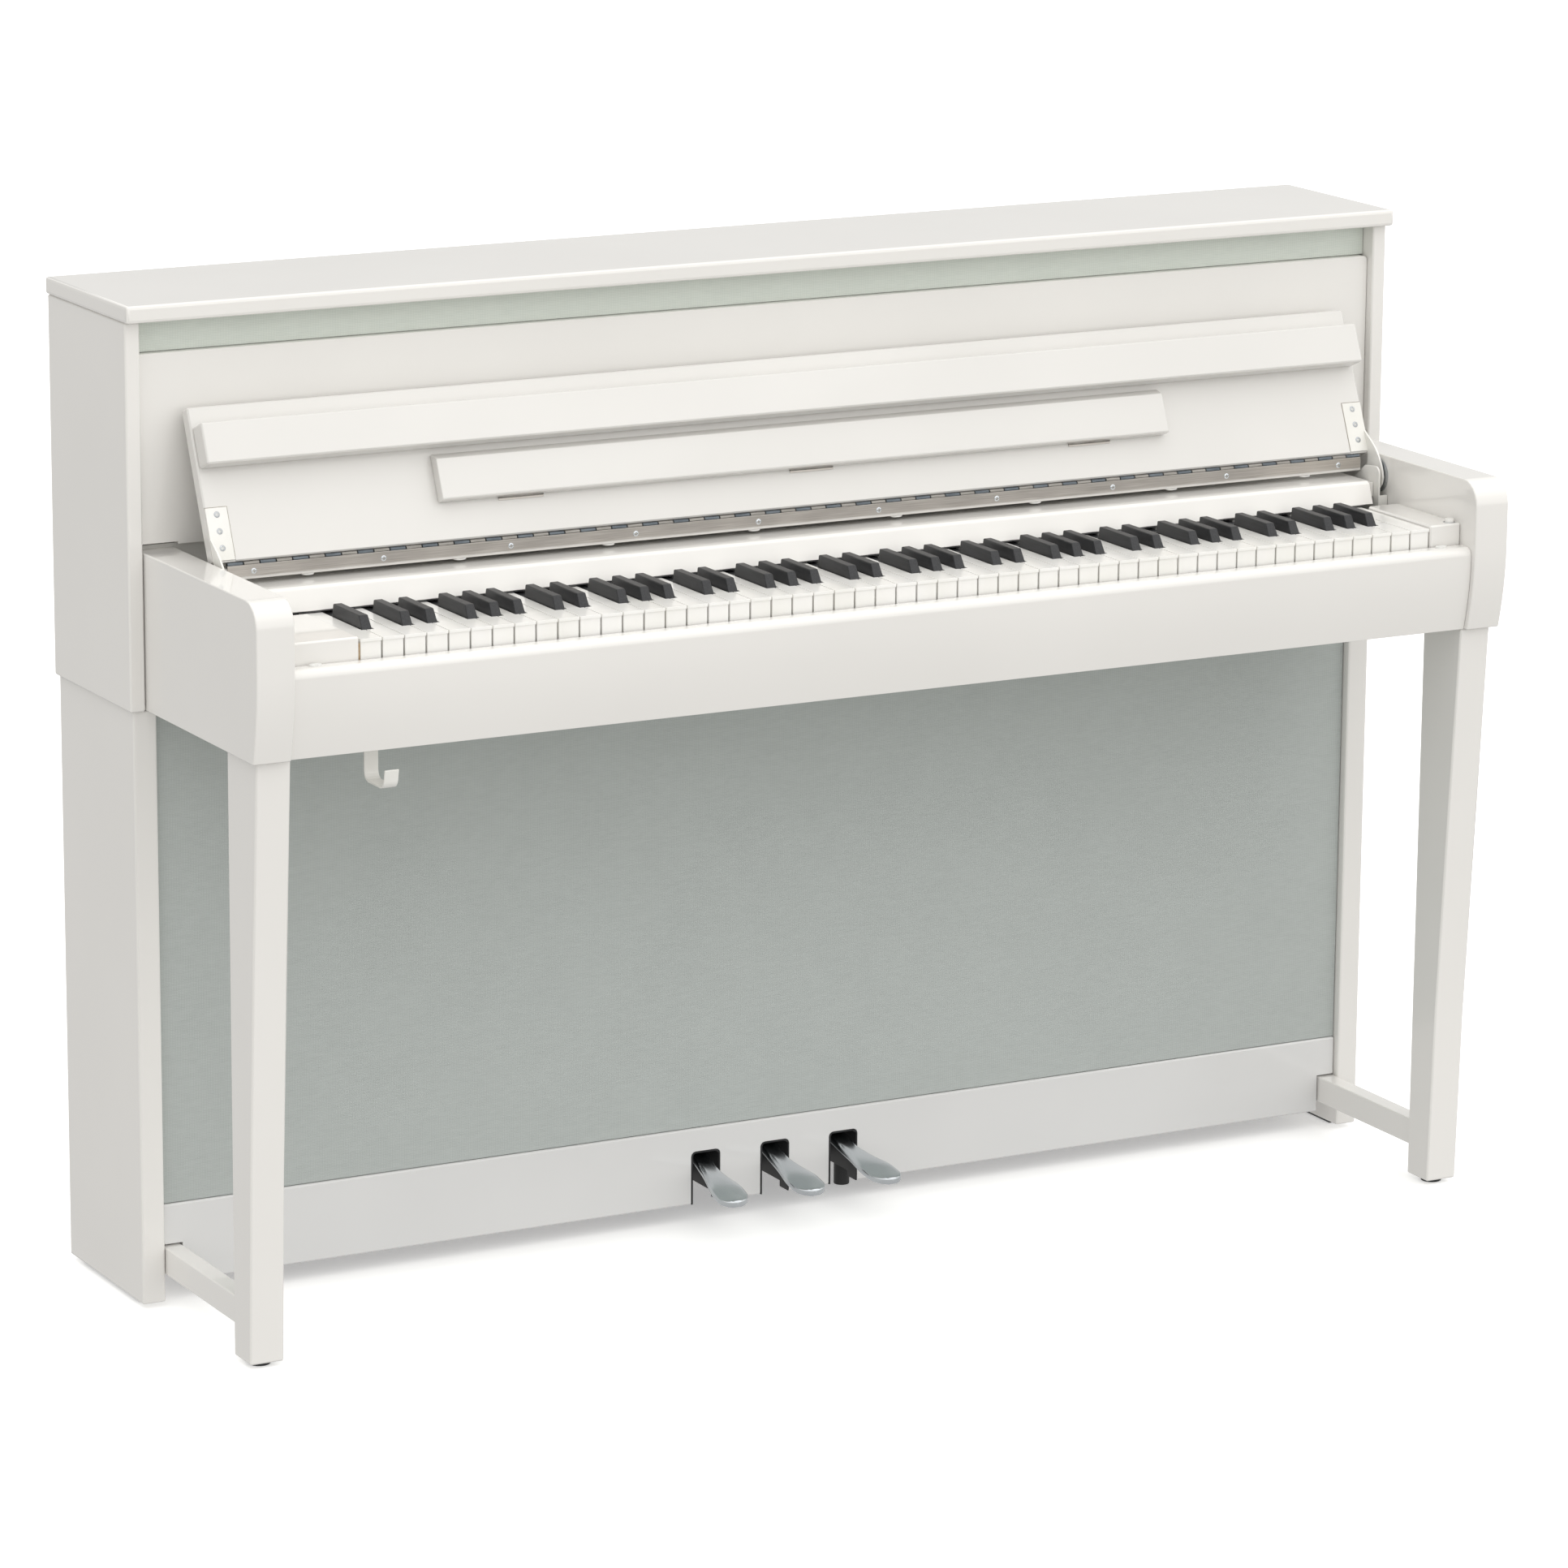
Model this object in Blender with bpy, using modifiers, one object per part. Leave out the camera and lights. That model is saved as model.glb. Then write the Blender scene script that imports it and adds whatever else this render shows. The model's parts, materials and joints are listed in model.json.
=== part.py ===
"""Digital piano on its stand: a white upright cabinet with a folding fallboard over 88 keys.

Sizes are millimetres, and MM turns them into Blender's metres.
X runs to the player's right. The model is drawn with Y = 0 at the rear of the top board and Z = 0 on
the floor, the player sits at -Y, and the empty piano_frame moves it all so that the origin is at
the middle of the footprint.
"""

import math

import bmesh
import bpy

MM = 0.001
GAP = 0.3

# Whole object
WIDTH = 1466
HEIGHT = 1027
FRONT_Y = -472.5
BACK_PANEL_Y = (0.3, 3.5)

# Cabinet boards
TOP_DEPTH = 211
TOP_THICK = 17.5
UPPER_SIDE = {"outer": 730.5, "thick": 16, "front": -199.7, "bottom": 619.6}
LOWER_SIDE = {"outer": 725.5, "thick": 25, "front": -194, "bottom": 5}
ARM = {"outer": 713.5, "inner": 673.5, "top": 779, "bottom": 620}
ARM_FRONT_RADIUS = 26
ARM_BOTTOM_Y = -461
LEG = {"outer": 707, "inner": 671, "bottom": 5}
LEG_TOP_Y = (-454, -384)
LEG_BOTTOM_Y = (-421, -382.5)
STRETCHER = {"inner": 680, "outer": 700, "z": (33, 61.5), "rear": -100}
KEYBED_Z = (620, 640)
KEYBED_FRONT = -446
SLIP_TOP = 709
SLIP_Y = (-466, -446.3)
SLIP_LEAN = 10.5
CHEEK_TOP = 731.5
POWER_BUTTON = (665.5, -434)
FRONT_PANEL = {"front": -189.5, "thick": 15, "z": (783, 975.5), "half_width": 714.2}
FRONT_PANEL_SHOULDER = 3
GRILLE_Y = (-180.5, -175)
LOWER_GRILLE_Y = (-185, -177)
BASEBOARD = {"y": (-187, -169), "z": (22, 105), "half_width": 700}

NAMEBOARD_SHELF = -200

# Keyboard
WHITE_COUNT = 52
WHITE_PITCH = 23.6
KEYBOARD_LEFT = -592.6
KEY_FRONT = -444
KEY_REAR = -298.5
WHITE_Z = (707, 728.7)
BLACK_FRONT = -404
BLACK_HEAD_REAR = -333
BLACK_TOP = 741
BLACK_SLOPE = 8.5
BLACK_STICK_Z = (714.5, 727.5)
BLACK_WIDTH = 12
BLACK_TAPER = 0.78
KEY_SIDE_GAP = 0.5
BLACK_SIDE_GAP = 0.9
KEY_PIVOT = (-286, 713.2)
WHITE_RAIL = {"y": (-302, -282), "z": (704, 712)}
BLACK_RAIL = {"y": (-296, -282), "z": (714.5, 727.5)}
# Black keys after each white note, with their distance from the line between the two white keys
BLACK_AFTER = {"C": -1.6, "D": 1.6, "F": -2.2, "G": 0, "A": 2.2}
SINGLE_OCTAVE_START = 23

# Fallboard, drawn closed: Y and Z from the axis of its two hubs
HUB = (-285, 756)
OPEN_ANGLE = 112.9
BOARD = {"half_width": 670.5, "y": (-183, -26.2), "z": (4, 19)}
BRACKET = {"inner": 647, "outer": 670, "y": (-81, -28), "z": (3.4, 5.2)}
FIN_THICK = 2
FLAP = {"half_width": 668.5, "y": (-162.5, -120.5), "z": (-19.5, 3.5)}
FLAP_AXIS = (-163, 3.75)
REST = {"half_width": 421, "y": (-113.5, -65), "z": (-9.5, 3.5)}
REST_AXIS = (-64.7, 3.2)
# Rear slat, drawn closed: Y and Z from the piano hinge's pin
PIN = (-23, 5.5)
SLAT_FOLD = 22.9
SLAT = {"half_width": 659, "y": (3.2, 15.5), "z": (-1.5, 13.5)}
KNUCKLE_RADIUS = 2.8
LEAF = {"half_width": 657, "y": (0, 12), "z": (-3.1, -1.8)}

# Pedals: Y and Z from each pedal's pivot
PEDAL_X = (-82.3, 0, 82.3)
PEDAL_SPLAY = (-8.2, 0, 8.2)
PEDAL_PIVOT = (-105, 74)
NOTCH_WIDTH = 34
NOTCH_TOP = 79.5
TOE_RADIUS = 17.5

COLOURS = {
    "white_polish": ("F1F0EC", 0.12, 0),
    "white_satin": ("E6E5E0", 0.4, 0),
    "grey_cloth": ("A9B1AD", 0.9, 0),
    "white_key": ("F4F4F0", 0.2, 0),
    "black_key": ("26272A", 0.45, 0),
    "chrome": ("D8DBDD", 0.08, 1),
    "nickel": ("CFC8C0", 0.3, 1),
    "black_plastic": ("1A1A1C", 0.5, 0),
    "white_metal": ("ECEBE6", 0.35, 0),
    "hardboard": ("6A5442", 0.8, 0),
    "steel": ("B4B7BA", 0.35, 1),
}


def clear_scene():
    for obj in list(bpy.data.objects):
        bpy.data.objects.remove(obj, do_unlink=True)


def make_collection(name):
    collection = bpy.data.collections.new(name)
    bpy.context.scene.collection.children.link(collection)
    return collection


def make_material(name):
    digits, roughness, metallic = COLOURS[name]
    channels = [int(digits[i : i + 2], 16) / 255 for i in (0, 2, 4)]
    linear = [c / 12.92 if c < 0.04045 else ((c + 0.055) / 1.055) ** 2.4 for c in channels]
    material = bpy.data.materials.new(name)
    material.use_nodes = True
    shader = material.node_tree.nodes["Principled BSDF"]
    shader.inputs["Base Color"].default_value = (*linear, 1)
    shader.inputs["Roughness"].default_value = roughness
    shader.inputs["Metallic"].default_value = metallic
    return material


def place(obj, parent, material, helper=False):
    """Links the object as a part, or as a helper that only cuts or joins."""
    (HELPERS if helper else PARTS).objects.link(obj)
    obj.parent = parent
    if material:
        own = MATERIALS[material].copy()
        own.name = f"{obj.name}_{material}"
        obj.data.materials.append(own)
    if helper:
        obj.hide_render = True
        obj.display_type = "WIRE"
    return obj


def round_edges(obj, width, segments=1):
    modifier = obj.modifiers.new("round edges", "BEVEL")
    modifier.width = width * MM
    modifier.segments = segments
    modifier.limit_method = "ANGLE"
    return obj


def box(name, x, y, z, material, parent=None, bevel=0, segments=1, helper=False):
    """A box between two limits on each axis, with its origin at its centre."""
    mesh = bpy.data.meshes.new(name)
    cage = bmesh.new()
    bmesh.ops.create_cube(cage, size=1)
    size = [(high - low) * MM for low, high in (x, y, z)]
    bmesh.ops.scale(cage, vec=size, verts=cage.verts)
    cage.to_mesh(mesh)
    cage.free()
    obj = bpy.data.objects.new(name, mesh)
    obj.location = [(low + high) / 2 * MM for low, high in (x, y, z)]
    place(obj, parent or FRAME, material, helper)
    return round_edges(obj, bevel, segments) if bevel else obj


def rod(name, centre, radius, depth, material, axis="Z", parent=None, sides=24, helper=False):
    """A cylinder of this depth around centre, along one axis."""
    mesh = bpy.data.meshes.new(name)
    cage = bmesh.new()
    bmesh.ops.create_cone(
        cage, cap_ends=True, segments=sides, radius1=radius * MM, radius2=radius * MM, depth=depth * MM
    )
    cage.to_mesh(mesh)
    cage.free()
    mesh.shade_smooth()
    mesh.set_sharp_from_angle(angle=math.radians(40))
    obj = bpy.data.objects.new(name, mesh)
    obj.location = [value * MM for value in centre]
    obj.rotation_euler = {"X": (0, math.pi / 2, 0), "Y": (math.pi / 2, 0, 0), "Z": (0, 0, 0)}[axis]
    return place(obj, parent or FRAME, material, helper)


PLANES = {
    "XY": (0, 0, 0),
    "XZ": (math.pi / 2, 0, 0),
    "YZ": (math.pi / 2, 0, math.pi / 2),
}


def plate(name, outline, plane, span, material, parent=None, bevel=0, helper=False):
    """A flat outline in one plane, given its thickness between two limits on the third axis."""
    curve = bpy.data.curves.new(name, "CURVE")
    curve.dimensions = "2D"
    curve.fill_mode = "BOTH"
    curve.extrude = (span[1] - span[0]) / 2 * MM
    spline = curve.splines.new("POLY")
    spline.points.add(len(outline) - 1)
    for point, (u, v) in zip(spline.points, outline):
        point.co = (u * MM, v * MM, 0, 1)
    spline.use_cyclic_u = True
    drawn = bpy.data.objects.new(name + "_outline", curve)
    PARTS.objects.link(drawn)
    graph = bpy.context.evaluated_depsgraph_get()
    mesh = bpy.data.meshes.new_from_object(drawn.evaluated_get(graph))
    bpy.data.objects.remove(drawn)
    bpy.data.curves.remove(curve)
    mesh.name = name
    cage = bmesh.new()
    cage.from_mesh(mesh)
    bmesh.ops.remove_doubles(cage, verts=cage.verts, dist=1e-6)
    bmesh.ops.recalc_face_normals(cage, faces=cage.faces)
    cage.to_mesh(mesh)
    cage.free()
    obj = bpy.data.objects.new(name, mesh)
    middle = (span[0] + span[1]) / 2 * MM
    obj.location = {"XY": (0, 0, middle), "XZ": (0, middle, 0), "YZ": (middle, 0, 0)}[plane]
    obj.rotation_euler = PLANES[plane]
    place(obj, parent or FRAME, material, helper)
    return round_edges(obj, bevel) if bevel else obj


def arc(centre, radius, start, end, steps):
    """Points along an arc, in degrees."""
    angles = [math.radians(start + (end - start) * i / steps) for i in range(steps + 1)]
    return [(centre[0] + radius * math.cos(a), centre[1] + radius * math.sin(a)) for a in angles]


def band(path, thickness):
    """The outline of a strip of even thickness that follows a path."""
    left, right = [], []
    for i, (x, z) in enumerate(path):
        before = path[max(i - 1, 0)]
        after = path[min(i + 1, len(path) - 1)]
        angle = math.atan2(after[1] - before[1], after[0] - before[0])
        dx = -math.sin(angle) * thickness / 2
        dz = math.cos(angle) * thickness / 2
        left.append((x + dx, z + dz))
        right.append((x - dx, z - dz))
    return left + right[::-1]


def combine(obj, others, operation):
    """A Boolean of obj with each helper in turn."""
    for other in others:
        modifier = obj.modifiers.new(f"{operation.lower()} {other.name}", "BOOLEAN")
        modifier.operation = operation
        modifier.solver = "EXACT"
        modifier.object = other
    return obj


def empty(name, location, parent=None, angle=0):
    obj = bpy.data.objects.new(name, None)
    PARTS.objects.link(obj)
    obj.empty_display_size = 0.03
    obj.location = [value * MM for value in location]
    obj.rotation_euler.x = math.radians(angle)
    obj.parent = parent or FRAME
    return obj


def span_on(side, inner, outer):
    """The X limits of a piece on the left (-1) or right (+1) of the cabinet."""
    return (inner, outer) if side > 0 else (-outer, -inner)


SIDES = (("left", -1), ("right", 1))


def cabinet_top_and_sides():
    half = WIDTH / 2
    box("top_board", (-half, half), (-TOP_DEPTH, 0), (HEIGHT - TOP_THICK, HEIGHT), "white_polish",
        bevel=3, segments=2)
    for word, side in SIDES:
        upper = span_on(side, UPPER_SIDE["outer"] - UPPER_SIDE["thick"], UPPER_SIDE["outer"])
        top = HEIGHT - TOP_THICK - GAP
        box(f"{word}_upper_side", upper, (UPPER_SIDE["front"], 0), (UPPER_SIDE["bottom"], top),
            "white_polish", bevel=1.5)
        lower = span_on(side, LOWER_SIDE["outer"] - LOWER_SIDE["thick"], LOWER_SIDE["outer"])
        box(f"{word}_lower_side", lower, (LOWER_SIDE["front"], 0),
            (LOWER_SIDE["bottom"], UPPER_SIDE["bottom"] - GAP), "white_polish", bevel=2, segments=2)
        middle = side * (LOWER_SIDE["outer"] - LOWER_SIDE["thick"] / 2)
        box(f"{word}_side_glide", (middle - 6, middle + 6), (-170, -20),
            (0, LOWER_SIDE["bottom"] - GAP), "black_plastic", bevel=1)


def lean_in(front, lean, top, bottom, steps=6):
    """Points down a front that curves in, a little at first and most at its foot."""
    shares = [i / steps for i in range(1, steps + 1)]
    return [(front + lean * share ** 1.8, top - (top - bottom) * share) for share in shares]


def arm_outline():
    """The side of an arm: a rounded upper front corner, and a front that curves in towards its foot."""
    top, radius = ARM["top"], ARM_FRONT_RADIUS
    corner = arc((FRONT_Y + radius, top - radius), radius, 90, 180, 6)
    front = [(FRONT_Y, 705)] + lean_in(FRONT_Y, ARM_BOTTOM_Y - FRONT_Y, 705, ARM["bottom"])
    return [(-GAP, top)] + corner + front + [(-GAP, ARM["bottom"])]


def arms():
    for word, side in SIDES:
        arm = plate(f"{word}_arm", arm_outline(), "YZ", span_on(side, ARM["inner"], ARM["outer"]),
                    "white_polish", bevel=1.5)
        bore = rod(f"{word}_arm_bore", (side * (ARM["inner"] + 9), *HUB), 12.4, 22, None, "X",
                   helper=True)
        combine(arm, [bore], "DIFFERENCE")
        damper = rod(f"{word}_damper", (side * (ARM["inner"] + 7.5), *HUB), 12, 21, "black_plastic", "X")
        flange = rod(f"{word}_damper_flange", (side * (ARM["inner"] - 1.1), *HUB), 18.5, 1.6, None, "X",
                     sides=32, helper=True)
        combine(damper, [flange], "UNION")


def legs():
    top = ARM["bottom"] - GAP
    outline = [
        (LEG_TOP_Y[1], top),
        (LEG_TOP_Y[0], top),
        (-441, 420),
        (-428, 200),
        (LEG_BOTTOM_Y[0], LEG["bottom"]),
        (LEG_BOTTOM_Y[1], LEG["bottom"]),
    ]
    for word, side in SIDES:
        plate(f"{word}_front_leg", outline, "YZ", span_on(side, LEG["inner"], LEG["outer"]),
              "white_polish", bevel=1.5)
        middle = side * (LEG["inner"] + LEG["outer"]) / 2
        rod(f"{word}_leg_glide", (middle, sum(LEG_BOTTOM_Y) / 2, (LEG["bottom"] - GAP) / 2), 11,
            LEG["bottom"] - GAP, "black_plastic")
        box(f"{word}_stretcher", span_on(side, STRETCHER["inner"], STRETCHER["outer"]),
            (LEG_BOTTOM_Y[1] + GAP, STRETCHER["rear"]), STRETCHER["z"], "white_polish", bevel=1)


def keybed_and_slip():
    half = ARM["inner"] - GAP
    box("keybed", (-half, half), (KEYBED_FRONT, -5), KEYBED_Z, "white_satin")
    rear, front = SLIP_Y[1], SLIP_Y[0]
    outline = [(rear, SLIP_TOP)]
    outline += arc((front + 9, SLIP_TOP - 9), 9, 90, 180, 5)
    outline += lean_in(front, SLIP_LEAN, SLIP_TOP - 11, KEYBED_Z[0]) + [(rear, KEYBED_Z[0])]
    plate("key_slip", outline, "YZ", (-half, half), "white_polish", bevel=0.8)
    right = KEYBOARD_LEFT + WHITE_COUNT * WHITE_PITCH
    floor = KEYBED_Z[1] + GAP
    rails = [(-440, floor), (-440, 690), (-424, 690), (-424, floor + 4), (-304, floor + 4), (-304, 700)]
    rails += [(-283, 700), (-283, floor)]
    plate("key_frame", rails, "YZ", (KEYBOARD_LEFT, right), "hardboard")
    box("left_cheek_block", (-half, KEYBOARD_LEFT - 1), (KEY_FRONT, -324), (floor, CHEEK_TOP),
        "white_polish", bevel=1.5)
    cheek = box("right_cheek_block", (right + 1, half), (KEY_FRONT, -324), (floor, CHEEK_TOP),
                "white_polish", bevel=1.5)
    well = rod("power_button_well", (POWER_BUTTON[0], POWER_BUTTON[1], CHEEK_TOP), 5.4, 14, None,
               helper=True)
    combine(cheek, [well], "DIFFERENCE")
    rod("power_button", (*POWER_BUTTON, CHEEK_TOP), 5, 8, "white_satin")


def nameboard_and_side_plates():
    low = WHITE_Z[1] + 2.6
    outline = [(-280.5, low), (-280.5, 742), (NAMEBOARD_SHELF, 742), (NAMEBOARD_SHELF, 754.6), (-303, 754.6)]
    outline += [(-307, 752), (-315.5, low)]
    board = plate("nameboard", outline, "YZ", (-648, 648), "white_polish", bevel=0.6)
    batten = box("nameboard_batten", (-661, 661), (-294, -283), (735, 750), None, helper=True)
    combine(board, [batten], "UNION")
    floor = KEYBED_Z[1] + GAP
    for word, side in SIDES:
        outline = [(-250, floor), (-250, 745), (-262, 755), (-276, 766)]
        outline += arc((-296, 760), 8, 90, 180, 4) + [(-304, floor)]
        side_plate = plate(f"{word}_side_plate", outline, "YZ", span_on(side, 661.5, 663.5), "white_metal")
        foot = box(f"{word}_side_plate_foot", span_on(side, 662, 672.8), (-304, -301.5), (floor, 737),
                   None, helper=True)
        combine(side_plate, [foot], "UNION")


def upper_panels():
    half = FRONT_PANEL["half_width"]
    low, high = FRONT_PANEL["z"]
    shoulder = ARM["inner"] - 1
    outline = [(-half, low + FRONT_PANEL_SHOULDER), (-shoulder, low + FRONT_PANEL_SHOULDER)]
    outline += [(-shoulder, low), (shoulder, low), (shoulder, low + FRONT_PANEL_SHOULDER)]
    outline += [(half, low + FRONT_PANEL_SHOULDER)] + arc((half - 5, high - 5), 5, 0, 90, 3)
    outline += arc((5 - half, high - 5), 5, 90, 180, 3)
    front = FRONT_PANEL["front"]
    plate("upper_front_panel", outline, "XZ", (front, front + FRONT_PANEL["thick"]), "white_polish",
          bevel=1)
    top = HEIGHT - TOP_THICK - GAP
    box("upper_grille", (-half, half), GRILLE_Y, (high + GAP, top), "grey_cloth")
    panel = box("upper_back_panel", (-724, 724), BACK_PANEL_Y, (645, 1005), "hardboard")
    window = box("jack_window", (-92, 92), (-5, 10), (652, 692), None, helper=True)
    combine(panel, [window], "DIFFERENCE")


def amplifier():
    """The sound board's case on the keybed, with its sockets at a window in the back panel."""
    floor = KEYBED_Z[1] + GAP
    case = box("amplifier_chassis", (-260, 260), (-165, -30), (floor, 700), "steel", bevel=2)
    sockets = box("socket_block", (-90, 90), (-40, 3), (654, 690), None, helper=True)
    combine(case, [sockets], "UNION")
    inlet = box("mains_inlet_recess", (-82, -55), (-14, 10), (662, 682), None, helper=True)
    jacks = [rod(f"jack_{i}", (x, 0, 672), 3.2, 28, None, "Y", sides=16, helper=True)
             for i, x in enumerate((-25, 0, 25, 50, 72))]
    hollow = box("case_hollow", (-257, 257), (-162, -33), (600, 697), None, helper=True)
    combine(case, [inlet] + jacks + [hollow], "DIFFERENCE")


def lower_panels():
    half = BASEBOARD["half_width"]
    box("lower_grille", (-half, half), LOWER_GRILLE_Y, (BASEBOARD["z"][1] + GAP, KEYBED_Z[0] - 1),
        "grey_cloth", bevel=1)
    board = box("baseboard", (-half, half), BASEBOARD["y"], BASEBOARD["z"], "white_polish", bevel=1.5)
    cutters = []
    for i, x in enumerate(PEDAL_X):
        w = NOTCH_WIDTH / 2
        outline = [(x - w, 0), (x + w, 0)]
        outline += arc((x + w - 5, NOTCH_TOP - 5), 5, 0, 90, 3) + arc((x - w + 5, NOTCH_TOP - 5), 5, 90, 180, 3)
        cutters.append(plate(f"notch_{i}", outline, "XZ", (-200, -160), None, helper=True))
    for word, side in SIDES:
        cutters.append(box(f"{word}_stretcher_notch", span_on(side, STRETCHER["inner"] - 1.5, half + 5),
                           (-200, -160), (0, STRETCHER["z"][1] + 1.5), None, helper=True))
    combine(board, cutters, "DIFFERENCE")
    box("lower_back_panel", (-722, 722), BACK_PANEL_Y, (25, 615), "hardboard")


ADJUSTER = (114.5, -125)


def pedal_box():
    """A black case behind the baseboard, open at the front and below, with a bay for each pedal."""
    rear = -80
    case = box("pedal_box", (-125, 125), (BASEBOARD["y"][1] + GAP, rear), (24, 101), "black_plastic", bevel=1)
    bays = [box(f"pedal_bay_{i}", (x - 22, x + 22), (-200, rear - 6), (0, 95), None, helper=True)
            for i, x in enumerate(PEDAL_X)]
    combine(case, bays, "DIFFERENCE")
    rod("pedal_adjuster", (*ADJUSTER, (24 - GAP) / 2), 8.5, 24 - GAP, "black_plastic")


def pedal_plan(splay):
    """A pedal from above: a straight neck that widens into a round toe, turned a little outwards."""
    toe_y = -157
    neck_y = -90
    right, left = [(9, 6), (9.5, -70)], [(-9, 6), (-9.5, -70)]
    steps = 6
    for i in range(steps + 1):
        t = i / steps
        y = neck_y + (toe_y - neck_y) * t
        blend = t * t * (3 - 2 * t)
        width = 10 + (TOE_RADIUS - 10) * blend
        middle = splay * t
        right.append((middle + width, y))
        left.append((middle - width, y))
    toe = arc((splay, toe_y), TOE_RADIUS, -15, -165, 8)
    return right + toe + left[::-1]


def pedals():
    words = ("left", "middle", "right")
    # The top of the lever, from the pivot to the toe, and its underside on the way back
    side = [(6, 5), (-60, 1), (-90, -8), (-115, -13.5), (-140, -18), (-160, -22), (-176, -26)]
    side += [(-177, -31), (-150, -26), (-120, -21), (-95, -18), (-75, -12), (-55, -6), (6, -5)]
    for word, x, splay in zip(words, PEDAL_X, PEDAL_SPLAY):
        pivot = empty(f"{word}_pedal_pivot", (x, *PEDAL_PIVOT))
        pedal = plate(f"{word}_pedal", pedal_plan(splay), "XY", (-45, 20), "chrome", parent=pivot)
        profile = plate(f"{word}_pedal_profile", side, "YZ", (-40, 40), None, parent=pivot, helper=True)
        combine(pedal, [profile], "INTERSECT")


def headphone_hook():
    """A flat strap bent into a hook, under the left end of the keybed."""
    rear, top, low = -415, KEYBED_Z[0] - GAP - 1, 582
    path = [(rear + 14, top), (rear, top), (rear, low + 9)]
    path += arc((rear - 9, low + 9), 9, 0, -90, 4)[1:]
    path += [(-451, low)] + arc((-451, low + 10), 10, -90, -165, 4)[1:] + [(-463, 601)]
    plate("headphone_hook", band(path, 2), "YZ", (-576.5, -561.5), "white_metal")


def note_letter(index):
    return "ABCDEFG"[index % 7]


def black_centre(index):
    """The middle of the black key between white keys index and index + 1, or None."""
    offset = BLACK_AFTER.get(note_letter(index))
    if offset is None or not 0 <= index < WHITE_COUNT - 1:
        return None
    return KEYBOARD_LEFT + (index + 1) * WHITE_PITCH + offset


def white_outline(index):
    """A white key from above, cut away beside the black keys next to it."""
    left = KEYBOARD_LEFT + index * WHITE_PITCH + KEY_SIDE_GAP
    right = left + WHITE_PITCH - 2 * KEY_SIDE_GAP
    cut = BLACK_FRONT - 2
    reach = BLACK_WIDTH / 2 + BLACK_SIDE_GAP
    outline = [(left, KEY_FRONT), (right, KEY_FRONT)]
    after = black_centre(index)
    outline += [(right, KEY_REAR)] if after is None else [(right, cut), (after - reach, cut), (after - reach, KEY_REAR)]
    before = black_centre(index - 1)
    outline += [(left, KEY_REAR)] if before is None else [(before + reach, KEY_REAR), (before + reach, cut), (left, cut)]
    return outline


def in_octave(index):
    return SINGLE_OCTAVE_START <= index < SINGLE_OCTAVE_START + 7


def keys():
    """One octave of keys that each turn alone, and the rest joined by a rail behind them."""
    pivot = empty("key_pivot", (0, *KEY_PIVOT))
    y0, z0 = KEY_PIVOT

    def white_key(name, index, material, helper):
        outline = [(x, y - y0) for x, y in white_outline(index)]
        span = (WHITE_Z[0] - z0, WHITE_Z[1] - z0)
        return plate(name, outline, "XY", span, material, parent=pivot, helper=helper)

    side = [(BLACK_FRONT, BLACK_STICK_Z[0]), (BLACK_FRONT, 729), (BLACK_FRONT + BLACK_SLOPE, BLACK_TOP)]
    side += [(BLACK_HEAD_REAR, BLACK_TOP), (BLACK_HEAD_REAR, BLACK_STICK_Z[1])]
    side += [(KEY_REAR + 1, BLACK_STICK_Z[1]), (KEY_REAR + 1, BLACK_STICK_Z[0])]
    side = [(y - y0, z - z0) for y, z in side]

    def black_key(name, index, material, helper):
        middle = black_centre(index)
        half = BLACK_WIDTH / 2
        outline = side
        if helper:
            rear = BLACK_RAIL["y"][0] - y0 + 3
            outline = side[:5] + [(rear, side[5][1]), (rear, side[6][1])]
        key = plate(name, outline, "YZ", (-half, half), material, parent=pivot, helper=helper)
        for vertex in key.data.vertices:
            if vertex.co.y > (729.5 - z0) * MM:
                vertex.co.z *= BLACK_TAPER
        key.location.x = middle * MM
        return key

    joined_white, joined_black = [], []
    for index in range(WHITE_COUNT):
        octave = in_octave(index)
        letter = note_letter(index)
        name = f"white_key_{letter}" if octave else f"white_piece_{index}"
        key = white_key(name, index, "white_key" if octave else None, not octave)
        if not octave:
            joined_white.append(key)
        if black_centre(index) is None:
            continue
        single = in_octave(index) and in_octave(index + 1)
        name = f"black_key_{letter}_sharp" if single else f"black_piece_{index}"
        key = black_key(name, index, "black_key" if single else None, not single)
        if not single:
            joined_black.append(key)

    right = KEYBOARD_LEFT + WHITE_COUNT * WHITE_PITCH
    for name, rail, pieces, tails in (
        ("white_key_bank", WHITE_RAIL, joined_white, "white_key"),
        ("black_key_bank", BLACK_RAIL, joined_black, "black_key"),
    ):
        y = [value - y0 for value in rail["y"]]
        z = [value - z0 for value in rail["z"]]
        bank = box(name, (KEYBOARD_LEFT + 3, right - 3), y, z, tails, parent=pivot)
        combine(bank, pieces, "UNION")
    notch_rail()


def notch_rail():
    """The white keys' rail steps back behind the single keys, which end just in front of it."""
    left = KEYBOARD_LEFT + SINGLE_OCTAVE_START * WHITE_PITCH - 1
    width = 7 * WHITE_PITCH + 2
    notch = box("octave_notch", (left, left + width), (-310, -296.5), (700, 735), None, helper=True)
    combine(bpy.data.objects["white_key_bank"], [notch], "DIFFERENCE")


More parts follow.
